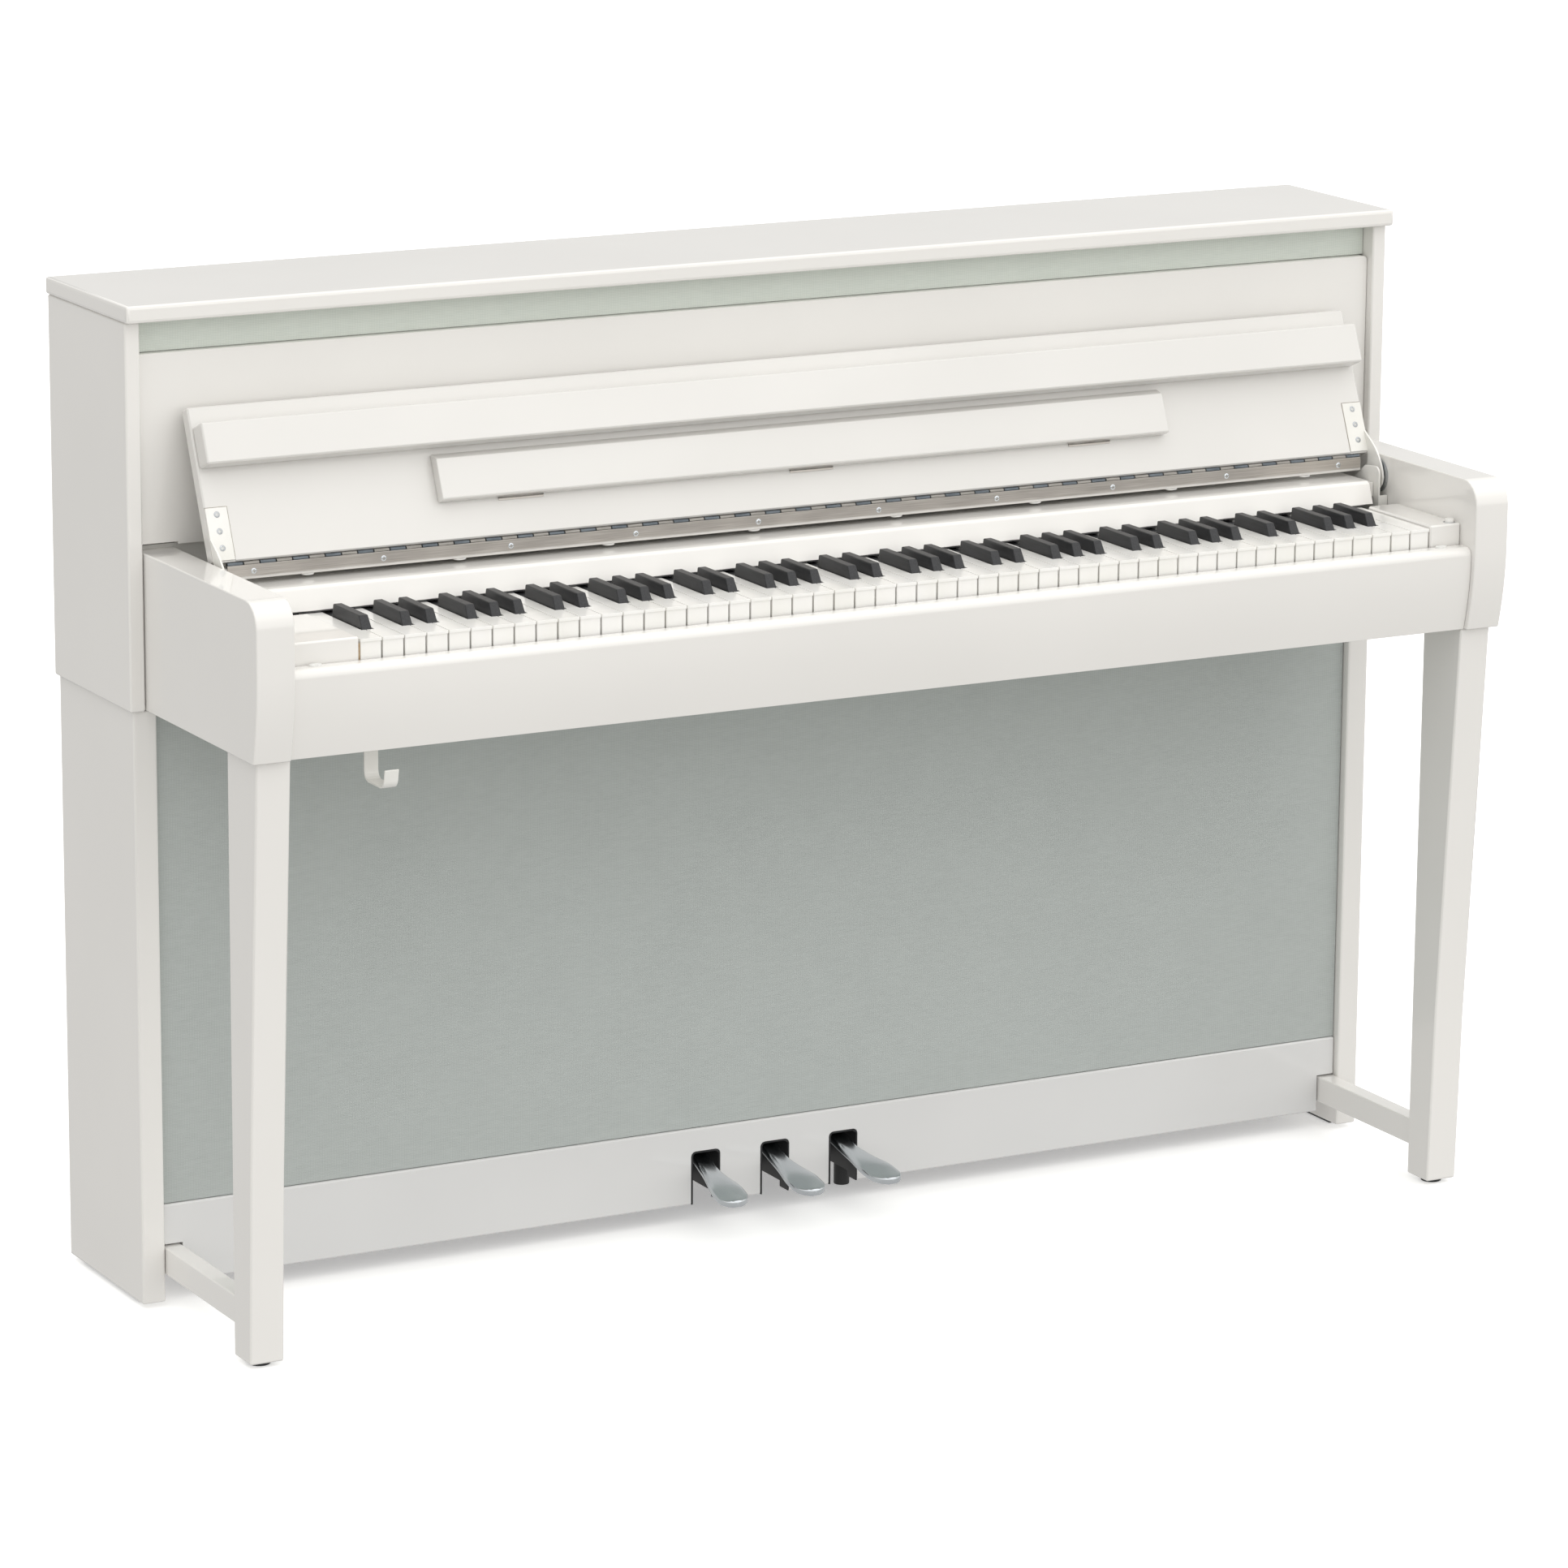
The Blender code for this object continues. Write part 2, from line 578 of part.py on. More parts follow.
def bracket(word, side, pivot):
    """A face plate let into the board, bent at its outer edge into a fin that reaches the hub."""
    fin = [(-50, 5.2), (-50, 3.4), (-43, -1), (-35, -6.5), (-27, -11), (-17, -14.5), (-8, -16)]
    fin += arc((0, 0), 16, -90, 135, 9) + [(-24, 5.2)]
    outer = span_on(side, BRACKET["outer"] - FIN_THICK, BRACKET["outer"])
    part = plate(f"{word}_end_bracket", fin, "YZ", outer, "white_metal", parent=pivot)
    face = box(f"{word}_bracket_face", span_on(side, BRACKET["inner"], BRACKET["outer"] - 0.2),
               BRACKET["y"], BRACKET["z"], None, parent=pivot, helper=True)
    combine(part, [face], "UNION")


def fallboard():
    pivot = empty("fallboard_pivot", (0, *HUB), angle=-OPEN_ANGLE)
    half = BOARD["half_width"]
    board = box("fallboard", (-half, half), BOARD["y"], BOARD["z"], "white_polish", parent=pivot, bevel=1.5)
    pockets = []
    for word, side in SIDES:
        y0, y1 = BRACKET["y"]
        pockets.append(box(f"{word}_bracket_pocket", span_on(side, BRACKET["inner"] - 0.6, half + 5),
                           (y0 - 0.6, y1 + 10), (0, BRACKET["z"][1] + 0.4), None, parent=pivot, helper=True))
        bracket(word, side, pivot)
    combine(board, pockets, "DIFFERENCE")

    flap_pivot = empty("flap_pivot", (0, *FLAP_AXIS), pivot)
    half = FLAP["half_width"]
    y = [value - FLAP_AXIS[0] for value in FLAP["y"]]
    z = [value - FLAP_AXIS[1] for value in FLAP["z"]]
    box("fallboard_flap", (-half, half), y, z, "white_polish", parent=flap_pivot, bevel=1.5)

    rest_pivot = empty("music_rest_pivot", (0, *REST_AXIS), pivot)
    half = REST["half_width"]
    y0, y1 = [value - REST_AXIS[0] for value in REST["y"]]
    z0, z1 = [value - REST_AXIS[1] for value in REST["z"]]
    outline = [(y0, z1), (y0, z1 - 4), (y0 + 6.5, z0), (y1 - 1.5, z0), (y1, z0 + 1.5), (y1, z1)]
    plate("music_rest", outline, "YZ", (-half, half), "white_polish", parent=rest_pivot, bevel=0.6)

    slat_pivot = empty("rear_slat_pivot", (0, *PIN), pivot, angle=SLAT_FOLD)
    half = SLAT["half_width"]
    box("rear_slat", (-half, half), SLAT["y"], SLAT["z"], "white_polish", parent=slat_pivot, bevel=1)
    half = LEAF["half_width"]
    hinge = box("piano_hinge", (-half, half), LEAF["y"], LEAF["z"], "nickel", parent=slat_pivot)
    knuckles = rod("piano_hinge_knuckles", (0, 0, 0), KNUCKLE_RADIUS, 2 * half, None, "X",
                   parent=slat_pivot, sides=12, helper=True)
    combine(hinge, [knuckles], "UNION")


def build():
    cabinet_top_and_sides()
    arms()
    legs()
    keybed_and_slip()
    nameboard_and_side_plates()
    upper_panels()
    amplifier()
    lower_panels()
    pedal_box()
    pedals()
    headphone_hook()
    keys()
    fallboard()


clear_scene()
PARTS = make_collection("digital_piano")
HELPERS = make_collection("helpers")
MATERIALS = {name: make_material(name) for name in COLOURS}
FRAME = bpy.data.objects.new("piano_frame", None)
PARTS.objects.link(FRAME)
FRAME.location = (0, -(FRONT_Y + BACK_PANEL_Y[1]) / 2 * MM, 0)
build()
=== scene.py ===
"""Digital piano on its stand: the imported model's boards, keys, fallboard and pedals, with their finishes.

Sizes are millimetres unless a name says otherwise, and MM turns them into Blender's metres. Places
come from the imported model: X to the player's right, the player at -Y, Z up from the floor.
"""

import json
import math

import bmesh
import bpy
from mathutils import Matrix, Vector


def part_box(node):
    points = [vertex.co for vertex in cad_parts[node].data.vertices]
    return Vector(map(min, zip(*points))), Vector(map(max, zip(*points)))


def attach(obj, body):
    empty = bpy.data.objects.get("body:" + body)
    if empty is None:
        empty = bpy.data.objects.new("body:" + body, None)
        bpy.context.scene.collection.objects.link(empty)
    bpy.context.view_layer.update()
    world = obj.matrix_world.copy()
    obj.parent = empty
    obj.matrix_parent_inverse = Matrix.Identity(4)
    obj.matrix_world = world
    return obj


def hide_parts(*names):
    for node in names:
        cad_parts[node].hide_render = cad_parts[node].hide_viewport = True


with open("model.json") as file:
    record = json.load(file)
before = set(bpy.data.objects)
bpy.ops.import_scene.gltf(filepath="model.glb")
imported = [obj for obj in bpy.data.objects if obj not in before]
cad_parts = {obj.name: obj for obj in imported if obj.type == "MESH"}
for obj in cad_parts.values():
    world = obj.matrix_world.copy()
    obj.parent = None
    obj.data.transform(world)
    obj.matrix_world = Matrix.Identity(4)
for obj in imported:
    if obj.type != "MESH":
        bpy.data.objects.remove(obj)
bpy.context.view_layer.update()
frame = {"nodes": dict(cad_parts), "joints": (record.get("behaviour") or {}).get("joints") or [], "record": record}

bl_info = {
    "name": "Digital piano on stand",
    "version": (1, 0, 0),
    "blender": (4, 5, 0),
    "location": "View3D > Sidebar > Piano",
    "description": "Builds the visible pieces and finishes of an upright digital piano",
    "category": "Object",
}

MM = 0.001
NODES = frame["nodes"]
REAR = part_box("top_board")[1].y / MM

# Keyboard
WHITE_COUNT = 52
KEYBOARD_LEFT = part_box("key_frame")[0].x / MM
WHITE_PITCH = (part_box("key_frame")[1].x / MM - KEYBOARD_LEFT) / WHITE_COUNT
SINGLE_START = 23
SINGLE_END = SINGLE_START + 7
BLACK_OFFSETS = {"C": -1.6, "D": 1.6, "F": -2.2, "G": 0, "A": 2.2}
BLACK_FRONT = REAR - 404
BLACK_HEAD_REAR = REAR - 333
STICK_REAR = REAR - 298
RAIL_DEPTH = (REAR - 295.5, REAR - 282.2)
RAIL_HEIGHTS = {"white": (704.2, 711.8), "black": (714.7, 727.3)}

# Fallboard, from the axis of its hubs, with the lid closed
JOINTS = {joint["name"]: joint for joint in frame["joints"]}
HUB = Vector(JOINTS["fallboard_hinge"]["pos_m"])
OPEN_ANGLE = JOINTS["fallboard_hinge"]["range_deg"][1]
LID = Matrix.Translation(HUB) @ Matrix.Rotation(math.radians(-OPEN_ANGLE), 4, "X")
PIN = Vector(JOINTS["rear_slat_hinge"]["pos_m"])

SOFTBOX = {"place": (0.6, -1.0, 5.0), "aim": Vector((0, 0, 0.7)), "spread": 90, "power": 0.7}
BRIGHT_SIDE = (0.2, -0.52, 0)
CAMERA = {"place": (-3.1943, -5.9408, 2.0928), "yaw": -28.137, "pitch": 13.47, "roll": 0.371, "lens": 153.4}


# ---------------------------------------------------------------- helpers

def linear(code):
    """An sRGB hex colour as linear red, green, blue and alpha. A linear colour stays as it is."""
    if not isinstance(code, str):
        return tuple(code)
    channels = [int(code[i : i + 2], 16) / 255 for i in (1, 3, 5)]
    return (*[c / 12.92 if c < 0.04045 else ((c + 0.055) / 1.055) ** 2.4 for c in channels], 1)


def darker(colour, share):
    """A linear colour with each channel brought down to a share of itself."""
    return (*[channel * share for channel in colour[:3]], 1)


def new_object(name, data):
    obj = bpy.data.objects.new(name, data)
    bpy.context.scene.collection.objects.link(obj)
    return obj


def discard(obj):
    bpy.data.objects.remove(obj, do_unlink=True)


def metres(x, y, z):
    """A place given in millimetres."""
    return Vector((x, y, z)) * MM


def hidden(obj):
    """A piece that others are made from stays out of sight."""
    obj.hide_render = True
    obj.hide_viewport = True
    return obj


def from_cage(name, cage, move=None):
    """A mesh object from a bmesh in millimetres, moved by a matrix in metres."""
    bmesh.ops.scale(cage, vec=(MM, MM, MM), verts=cage.verts)
    if move:
        bmesh.ops.transform(cage, matrix=move, verts=cage.verts)
    mesh = bpy.data.meshes.new(name)
    cage.to_mesh(mesh)
    cage.free()
    return new_object(name, mesh)


def smooth(obj, angle=35):
    obj.data.shade_smooth()
    obj.data.set_sharp_from_angle(angle=math.radians(angle))
    return obj


def rounded(obj, width, segments=3, angle=30):
    """Edges sharper than this angle get a small radius, in millimetres."""
    modifier = obj.modifiers.new("rounded edges", "BEVEL")
    modifier.width = width * MM
    modifier.segments = segments
    modifier.limit_method = "ANGLE"
    modifier.angle_limit = math.radians(angle)
    flat = obj.modifiers.new("flat faces stay flat", "WEIGHTED_NORMAL")
    flat.weight = 100
    obj.data.shade_smooth()
    return obj


def complete(obj, body, slot, material, *nodes):
    """The piece gets its finish, rides on its body, and stands for these nodes of the model."""
    obj.data.materials.clear()
    obj.data.materials.append(material)
    if nodes:
        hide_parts(*nodes)
    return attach(obj, body)


def body_of(node):
    bodies = frame["record"]["behaviour"]["bodies"]
    return next(name for name, nodes in bodies.items() if node in nodes)


def slot_of(node):
    return next(part["material_slot"] for part in frame["record"]["subparts"] if part["node"] == node)


def board(node, material, radius=0.5, segments=3):
    """A copy of a node with its loose triangles merged into whole faces and its edges softened."""
    mesh = NODES[node].data.copy()
    cage = bmesh.new()
    cage.from_mesh(mesh)
    bmesh.ops.remove_doubles(cage, verts=cage.verts, dist=1e-5)
    bmesh.ops.dissolve_limit(cage, angle_limit=math.radians(0.5), verts=cage.verts, edges=cage.edges)
    cage.to_mesh(mesh)
    cage.free()
    obj = new_object(node + "_finished", mesh)
    if radius:
        rounded(obj, radius, segments, 20)
    return complete(obj, body_of(node), slot_of(node), material, node)


def repaint(node, material):
    """A node whose shape is right keeps its mesh and gets its finish."""
    NODES[node].data.materials.clear()
    NODES[node].data.materials.append(material)


def block(name, x, y, z, radius, move=None, segments=3):
    """A box between limits in millimetres, with rounded edges."""
    cage = bmesh.new()
    bmesh.ops.create_cube(cage, size=1)
    bmesh.ops.scale(cage, vec=[b - a for a, b in (x, y, z)], verts=cage.verts)
    bmesh.ops.translate(cage, vec=[(a + b) / 2 for a, b in (x, y, z)], verts=cage.verts)
    return rounded(from_cage(name, cage, move), radius, segments)


def bridge(cage, rings):
    """Faces between each ring of vertices and the next."""
    faces = []
    for near, far in zip(rings, rings[1:]):
        for i in range(len(near)):
            j = (i + 1) % len(near)
            faces.append(cage.faces.new((near[i], near[j], far[j], far[i])))
    return faces


def prism(cage, outline, low, high, axis="Z"):
    """Adds an outline of (u, v) points to a bmesh, as a solid between two limits along Z or Y."""
    place = {"Z": lambda u, v, w: (u, v, w), "Y": lambda u, v, w: (u, w, v)}[axis]
    bottom = [cage.verts.new(place(u, v, low)) for u, v in outline]
    top = [cage.verts.new(place(u, v, high)) for u, v in outline]
    faces = [cage.faces.new(bottom), cage.faces.new(top), *bridge(cage, (bottom, top))]
    bmesh.ops.recalc_face_normals(cage, faces=faces)


def turned(name, profile, steps=32, move=None):
    """A profile of (radius, height) points turned about Z. A radius of 0 closes an end."""
    cage = bmesh.new()
    rings = []
    for radius, height in profile:
        if radius == 0:
            rings.append([cage.verts.new((0, 0, height))])
            continue
        angles = [2 * math.pi * i / steps for i in range(steps)]
        rings.append([cage.verts.new((radius * math.cos(a), radius * math.sin(a), height)) for a in angles])
    for lower, upper in zip(rings, rings[1:]):
        for i in range(steps):
            j = (i + 1) % steps
            corners = [ring[k % len(ring)] for ring, k in ((lower, i), (lower, j), (upper, j), (upper, i))]
            cage.faces.new(list(dict.fromkeys(corners)))
    bmesh.ops.recalc_face_normals(cage, faces=cage.faces)
    return smooth(from_cage(name, cage, move), 40)


def join(name, objects):
    """One mesh object from several, with their modifiers applied."""
    graph = bpy.context.evaluated_depsgraph_get()
    cage = bmesh.new()
    for obj in objects:
        mesh = bpy.data.meshes.new_from_object(obj.evaluated_get(graph))
        mesh.transform(obj.matrix_world)
        cage.from_mesh(mesh)
        bpy.data.meshes.remove(mesh)
    for obj in objects:
        discard(obj)
    mesh = bpy.data.meshes.new(name)
    cage.to_mesh(mesh)
    cage.free()
    return new_object(name, mesh)


# ---------------------------------------------------------------- repeated pieces

def add(tree, kind, values=None, links=None, **settings):
    """One node with its settings, the values of its sockets and the sockets that feed it."""
    made = tree.nodes.new(kind)
    for name, value in settings.items():
        setattr(made, name, value)
    for name, value in (values or {}).items():
        made.inputs[name].default_value = value
    for name, source in (links or {}).items():
        tree.links.new(source, made.inputs[name])
    return made


def row_tree():
    """Copies of a piece along a straight line, joined into plain geometry with one finish."""
    tree = bpy.data.node_groups.new("row of pieces", "GeometryNodeTree")
    tree.interface.new_socket("Geometry", in_out="INPUT", socket_type="NodeSocketGeometry")
    for name, kind in (("Piece", "Object"), ("Count", "Int"), ("Start", "Vector"), ("Step", "Vector"),
                       ("Finish", "Material")):
        tree.interface.new_socket(name, in_out="INPUT", socket_type="NodeSocket" + kind)
    tree.interface.new_socket("Geometry", in_out="OUTPUT", socket_type="NodeSocketGeometry")
    given = add(tree, "NodeGroupInput").outputs
    line = add(tree, "GeometryNodeMeshLine", mode="OFFSET",
               links={"Count": given["Count"], "Start Location": given["Start"], "Offset": given["Step"]})
    piece = add(tree, "GeometryNodeObjectInfo", transform_space="ORIGINAL", links={"Object": given["Piece"]})
    copies = add(tree, "GeometryNodeInstanceOnPoints",
                 links={"Points": line.outputs["Mesh"], "Instance": piece.outputs["Geometry"]})
    solid = add(tree, "GeometryNodeRealizeInstances", links={"Geometry": copies.outputs["Instances"]})
    finished = add(tree, "GeometryNodeSetMaterial",
                   links={"Geometry": solid.outputs["Geometry"], "Material": given["Finish"]})
    add(tree, "NodeGroupOutput", links={"Geometry": finished.outputs["Geometry"]})
    return tree


def row(name, piece, count, start, step, material, body, slot):
    """A finished row of one piece. start and step are in metres, and the piece itself stays out of sight."""
    tree = bpy.data.node_groups.get("row of pieces") or row_tree()
    carrier = new_object(name + "_carrier", bpy.data.meshes.new(name))
    modifier = carrier.modifiers.new("row", "NODES")
    modifier.node_group = tree
    inputs = {item.name: item.identifier for item in tree.interface.items_tree if item.in_out == "INPUT"}
    values = {"Piece": piece, "Count": count, "Start": tuple(start), "Step": tuple(step), "Finish": material}
    for label, value in values.items():
        modifier[inputs[label]] = value
    bpy.context.view_layer.update()
    graph = bpy.context.evaluated_depsgraph_get()
    mesh = bpy.data.meshes.new_from_object(carrier.evaluated_get(graph))
    discard(carrier)
    obj = new_object(name, mesh)
    return complete(obj, body, slot, material)


def screw_piece(name, radius, turn):
    """A countersunk screw head with a cross recess, facing along Z before it is turned."""
    dome = [(0, -1.2), (radius * 0.6, -1.2), (radius, 0), (radius * 0.92, 0.22), (radius * 0.5, 0.5),
            (0, 0.58)]
    head = turned(name, dome, 20)
    cage = bmesh.new()
    arm, width = radius * 0.58, radius * 0.17
    cross = [(-width, arm), (-width, width), (-arm, width), (-arm, -width), (-width, -width), (-width, -arm),
             (width, -arm), (width, -width), (arm, -width), (arm, width), (width, width), (width, arm)]
    prism(cage, cross, -0.55, 2)
    cutter = from_cage(name + "_cross", cage)
    recess = head.modifiers.new("cross recess", "BOOLEAN")
    recess.operation = "DIFFERENCE"
    recess.object = cutter
    made = join(name, [head])
    discard(cutter)
    made.data.transform(turn)
    return hidden(smooth(made, 35))


# ---------------------------------------------------------------- finishes

EVEN = (1, 1, 1)
# Where in a pattern's range its colour starts to change and stops
MIDDLE = (0.35, 0.65)
WIDE = (0.3, 0.7)
# A wave texture of scale 1 repeats at this distance, in metres
WAVE_PERIOD = 0.314
# Threads lie 0.7 mm apart in the cloth and are drawn further apart, so that the weave still shows
THREAD_PITCH = 1.7


def blotches(tree, size, stretch=EVEN, detail=3):
    """Noise in blotches of about this size in millimetres, drawn out along an axis where stretch is low."""
    place = add(tree, "ShaderNodeTexCoord")
    mapped = add(tree, "ShaderNodeMapping", {"Scale": stretch}, {"Vector": place.outputs["Object"]})
    return add(tree, "ShaderNodeTexNoise", {"Scale": 1 / (size * MM), "Detail": detail},
               {"Vector": mapped.outputs["Vector"]}).outputs["Fac"]


def drive(material, socket, pattern, given):
    """A pattern drives a socket: between two colours from a start to an end, as a relief with a strength and
    a depth in millimetres, or between two numbers."""
    tree = material.node_tree
    if socket == "Base Color":
        made = add(tree, "ShaderNodeValToRGB", links={"Fac": pattern})
        for element, place, colour in zip(made.color_ramp.elements, given[2:], given):
            element.position = place
            element.color = linear(colour)
    elif "Normal" in socket:
        values = {"Strength": given[0], "Distance": given[1] * MM}
        made = add(tree, "ShaderNodeBump", values, {"Height": pattern})
    else:
        values = {"To Min": given[0], "To Max": given[1]}
        made = add(tree, "ShaderNodeMapRange", values, {"Value": pattern})
    tree.links.new(made.outputs[0], tree.nodes["Principled BSDF"].inputs[socket])


def surface(name, colour, roughness, layers=(), metallic=0, **sockets):
    """A material of one Principled shader. Each layer is a pattern and the sockets that it sets."""
    material = bpy.data.materials.new(name)
    material.use_nodes = True
    values = {"Base Color": linear(colour), "Roughness": roughness, "Metallic": metallic}
    values.update({key.replace("_", " "): value for key, value in sockets.items()})
    for socket, value in values.items():
        material.node_tree.nodes["Principled BSDF"].inputs[socket].default_value = value
    for pattern, uses in layers:
        made = blotches(material.node_tree, *pattern)
        for socket, given in uses.items():
            drive(material, socket, made, given)
    return material


def polyester_lacquer(name, colour, shade):
    """Thick sprayed and polished lacquer: a mirror-like clear coat over white, with faint orange peel."""
    return surface(name, colour, 0.3, (
        ((260,), {"Base Color": (shade, colour, *MIDDLE)}),
        ((35,), {"Roughness": (0.26, 0.35)}),
        # Orange peel has a wavelength of about 5 mm
        ((5, EVEN, 1), {"Coat Normal": (0.05, 0.05)}),
    ), Coat_Weight=1.0, Coat_Roughness=0.03, Coat_IOR=1.5)


def woven_cloth(name, warp, weft):
    """Acoustically open polyester cloth: a plain weave that looks flat, with soft slubs across it."""
    material = surface(name, weft, 0.9, Sheen_Weight=0.25, Sheen_Roughness=0.5)
    tree = material.node_tree
    place = add(tree, "ShaderNodeTexCoord").outputs["Object"]
    values = {"Scale": WAVE_PERIOD / (THREAD_PITCH * MM), "Distortion": 0.6, "Detail": 1.0}
    waves = [add(tree, "ShaderNodeTexWave", values, {"Vector": place}, bands_direction=way).outputs["Fac"]
             for way in ("X", "Z")]
    weave = add(tree, "ShaderNodeMath", links=dict(enumerate(waves)), operation="MULTIPLY").outputs[0]
    slubs = blotches(tree, 4, (0.3, 1, 1.4), 4)
    mixed = weave
    for share, pattern in ((0.55, slubs), (0.25, blotches(tree, 70))):
        mixed = add(tree, "ShaderNodeMath", {1: share}, {0: pattern, 2: mixed},
                    operation="MULTIPLY_ADD").outputs[0]
    drive(material, "Base Color", mixed, (warp, weft, 0.2, 1.0))
    drive(material, "Normal", weave, (0.35, 0.25))
    return material


def satin_laminate():
    """Melamine-faced board: even, low-gloss white with the fine pebble of its press plate."""
    return surface("melamine_satin_white", "#E9E8E3", 0.45, (
        ((120,), {"Base Color": ("#E4E3DE", "#EBEAE6", *MIDDLE)}),
        ((1.2,), {"Normal": (0.15, 0.03)})))


def key_resin():
    """Moulded acrylic key tops: clean white with a soft gloss, dulled a little by hands."""
    return surface("acrylic_key_white", "#F7F6F2", 0.2, (
        ((60,), {"Base Color": ("#F4F3EE", "#F8F7F4", *MIDDLE)}),
        ((18,), {"Roughness": (0.16, 0.3)}),
        ((2.5, (1, 0.15, 1)), {"Normal": (0.05, 0.02)})), Coat_Weight=0.4, Coat_Roughness=0.12)


def key_ebony():
    """Moulded resin with a matt ebony-like grain that runs along the key."""
    grain = {"Base Color": ("#1C1D1F", "#303134", 0.3, 0.75), "Roughness": (0.34, 0.5),
             "Normal": (0.12, 0.05)}
    return surface("matt_ebony_resin", "#232427", 0.42, (((1.6, (1, 0.06, 1), 4), grain),))


def chrome_plate():
    """Chrome over polished brass: a mirror with faint hairlines from cleaning."""
    return surface("chrome_plate", "#C9CDD0", 0.2, (
        ((6, (1, 0.08, 1), 5), {"Roughness": (0.16, 0.28)}),
        ((40,), {"Base Color": ("#C8CDD1", "#D3D8DB", *MIDDLE)})), metallic=1)


def nickel_strip():
    """Rolled nickel-plated steel, warm grey, with fine lines along the strip."""
    lines = {"Base Color": ("#B4AEA7", "#CFCAC4", *WIDE), "Roughness": (0.24, 0.38), "Normal": (0.1, 0.03)}
    return surface("nickel_plated_steel", "#C6C1BA", 0.32, (((0.9, (0.02, 1, 1), 4), lines),), metallic=1)


def drawn_nickel(name, dark, light):
    """Drawn and plated knuckles, glossier than the leaf and painted darker than it: painted shade, so they show
    light and dark in turn.
    """
    lines = {"Base Color": (dark, light, *WIDE), "Roughness": (0.12, 0.26)}
    return surface(name, light, 0.2, (((1.5, (0.1, 1, 1), 4), lines),), metallic=1)


def zinc_steel():
    """Zinc-plated sheet: cool grey with a soft spangle."""
    return surface("zinc_plated_steel", "#B9BDC0", 0.36, (
        ((14,), {"Base Color": ("#A9ADB1", "#C6C9CB", *MIDDLE)}),
        ((9,), {"Roughness": (0.3, 0.45)})), metallic=1)


def black_moulding():
    """Moulded ABS: near-black with a fine spark-eroded texture."""
    return surface("abs_black", "#17181A", 0.48, (
        ((45,), {"Base Color": ("#141517", "#1F2022", *MIDDLE)}),
        ((0.8, EVEN, 2), {"Normal": (0.2, 0.04)})))


def powder_coat():
    """Powder-coated sheet steel: white with the low pebble of the cured powder."""
    return surface("powder_coat_white", "#EFEEE9", 0.32, (
        ((50,), {"Base Color": ("#EAE9E3", "#F1F0EC", *MIDDLE)}),
        ((1.4, EVEN, 1), {"Normal": (0.12, 0.05)})), Coat_Weight=0.3, Coat_Roughness=0.2)


def unpolished_bed():
    """Painted shadow round the plate of a fitting: a dull grey-brown line with an uneven tone."""
    return surface("lacquer_unpolished_edge", "#A39C92", 0.7, (
        ((6,), {"Base Color": ("#8F887E", "#B3ACA2", *WIDE)}),
        ((1.0,), {"Normal": (0.2, 0.05)})))


def hardboard():
    """Hot-pressed fibreboard: brown, with short pale and dark fibres on its smooth face."""
    fibres = {"Base Color": ("#5B4737", "#83695A", 0.3, 0.72), "Normal": (0.2, 0.08)}
    return surface("hardboard_brown", "#6F5947", 0.7, (((3, (0.35, 1, 1), 6), fibres),))


def felt_strip():
    """Pressed wool felt, dark grey and fuzzy."""
    fuzz = {"Base Color": ("#2E2F32", "#4C4D50", *WIDE), "Normal": (0.5, 0.3)}
    return surface("wool_felt_charcoal", "#3C3D40", 0.95, (((1.0, EVEN, 5), fuzz),),
                   Sheen_Weight=0.6, Sheen_Roughness=0.6)


def spruce_side():
    """Bare spruce, the side of the end key's wooden lever: pale, with its grain along the key."""
    rings = {"Base Color": ("#C7A275", "#E3C9A2", *WIDE), "Normal": (0.2, 0.05)}
    return surface("spruce_bare", "#D9B98F", 0.6, (((2.2, (1, 0.04, 1), 4), rings),))


def soft_rubber():
    """Moulded silicone bumpers: milky white, smooth and slightly dull."""
    return surface("silicone_white", "#E3E3E0", 0.4, (
        ((4,), {"Base Color": ("#DCDCD9", "#E8E8E5", *MIDDLE)}),
        ((1.0,), {"Normal": (0.1, 0.03)})))


def floor_acrylic(props):
    """Backlit acrylic sheet: an even, pale glow with a faintly uneven surface."""
    return surface("backlit_floor_acrylic", props.floor, 0.75, (((3,), {"Normal": (0.03, 0.05)}),),
                   Emission_Strength=props.floor_glow, Emission_Color=linear("#FFFFFF"))


FINISHES = {}


def make_finishes(props):
    white, cloth = props.lacquer, props.cloth
    FINISHES.update(
        lacquer=polyester_lacquer("polyester_lacquer_white", white, darker(white, 0.97)),
        # The fallboard pieces get a darker copy of the white lacquer: painted shade on the same white finish
        lid_lacquer=polyester_lacquer("polyester_lacquer_lid", darker(white, 0.88), darker(white, 0.85)),
        # The baseboard gets a greyer, darker copy of the white lacquer as painted shade
        grey_lacquer=polyester_lacquer("polyester_lacquer_pale_grey", "#DFDFDE", "#DBDBDA"),
        satin=satin_laminate(),
        cloth=woven_cloth("speaker_cloth_grey", darker(cloth, 0.78), cloth),
        # The upper grille has the same cloth as the lower one, drawn paler as painted light
        upper_cloth=woven_cloth("speaker_cloth_pale", "#CDD4CC", "#E0E6DE"),
        white_key=key_resin(),
        black_key=key_ebony(),
        chrome=chrome_plate(),
        nickel=nickel_strip(),
        # The knuckles get two darkened copies of the nickel as painted shade: the deeper one on the slat's row,
        # the lighter one on the fallboard's row and the rest hinge barrels
        knuckle=drawn_nickel("bright_nickel_plate", "#4E5459", "#6E7479"),
        worn_knuckle=drawn_nickel("worn_nickel_plate", "#7A7772", "#989590"),
        zinc=zinc_steel(),
        black=black_moulding(),
        powder=powder_coat(),
        # The fine dark line round the bracket plates is painted shadow
        bed=unpolished_bed(),
        hardboard=hardboard(),
        felt=felt_strip(),
        spruce=spruce_side(),
        rubber=soft_rubber(),
    )


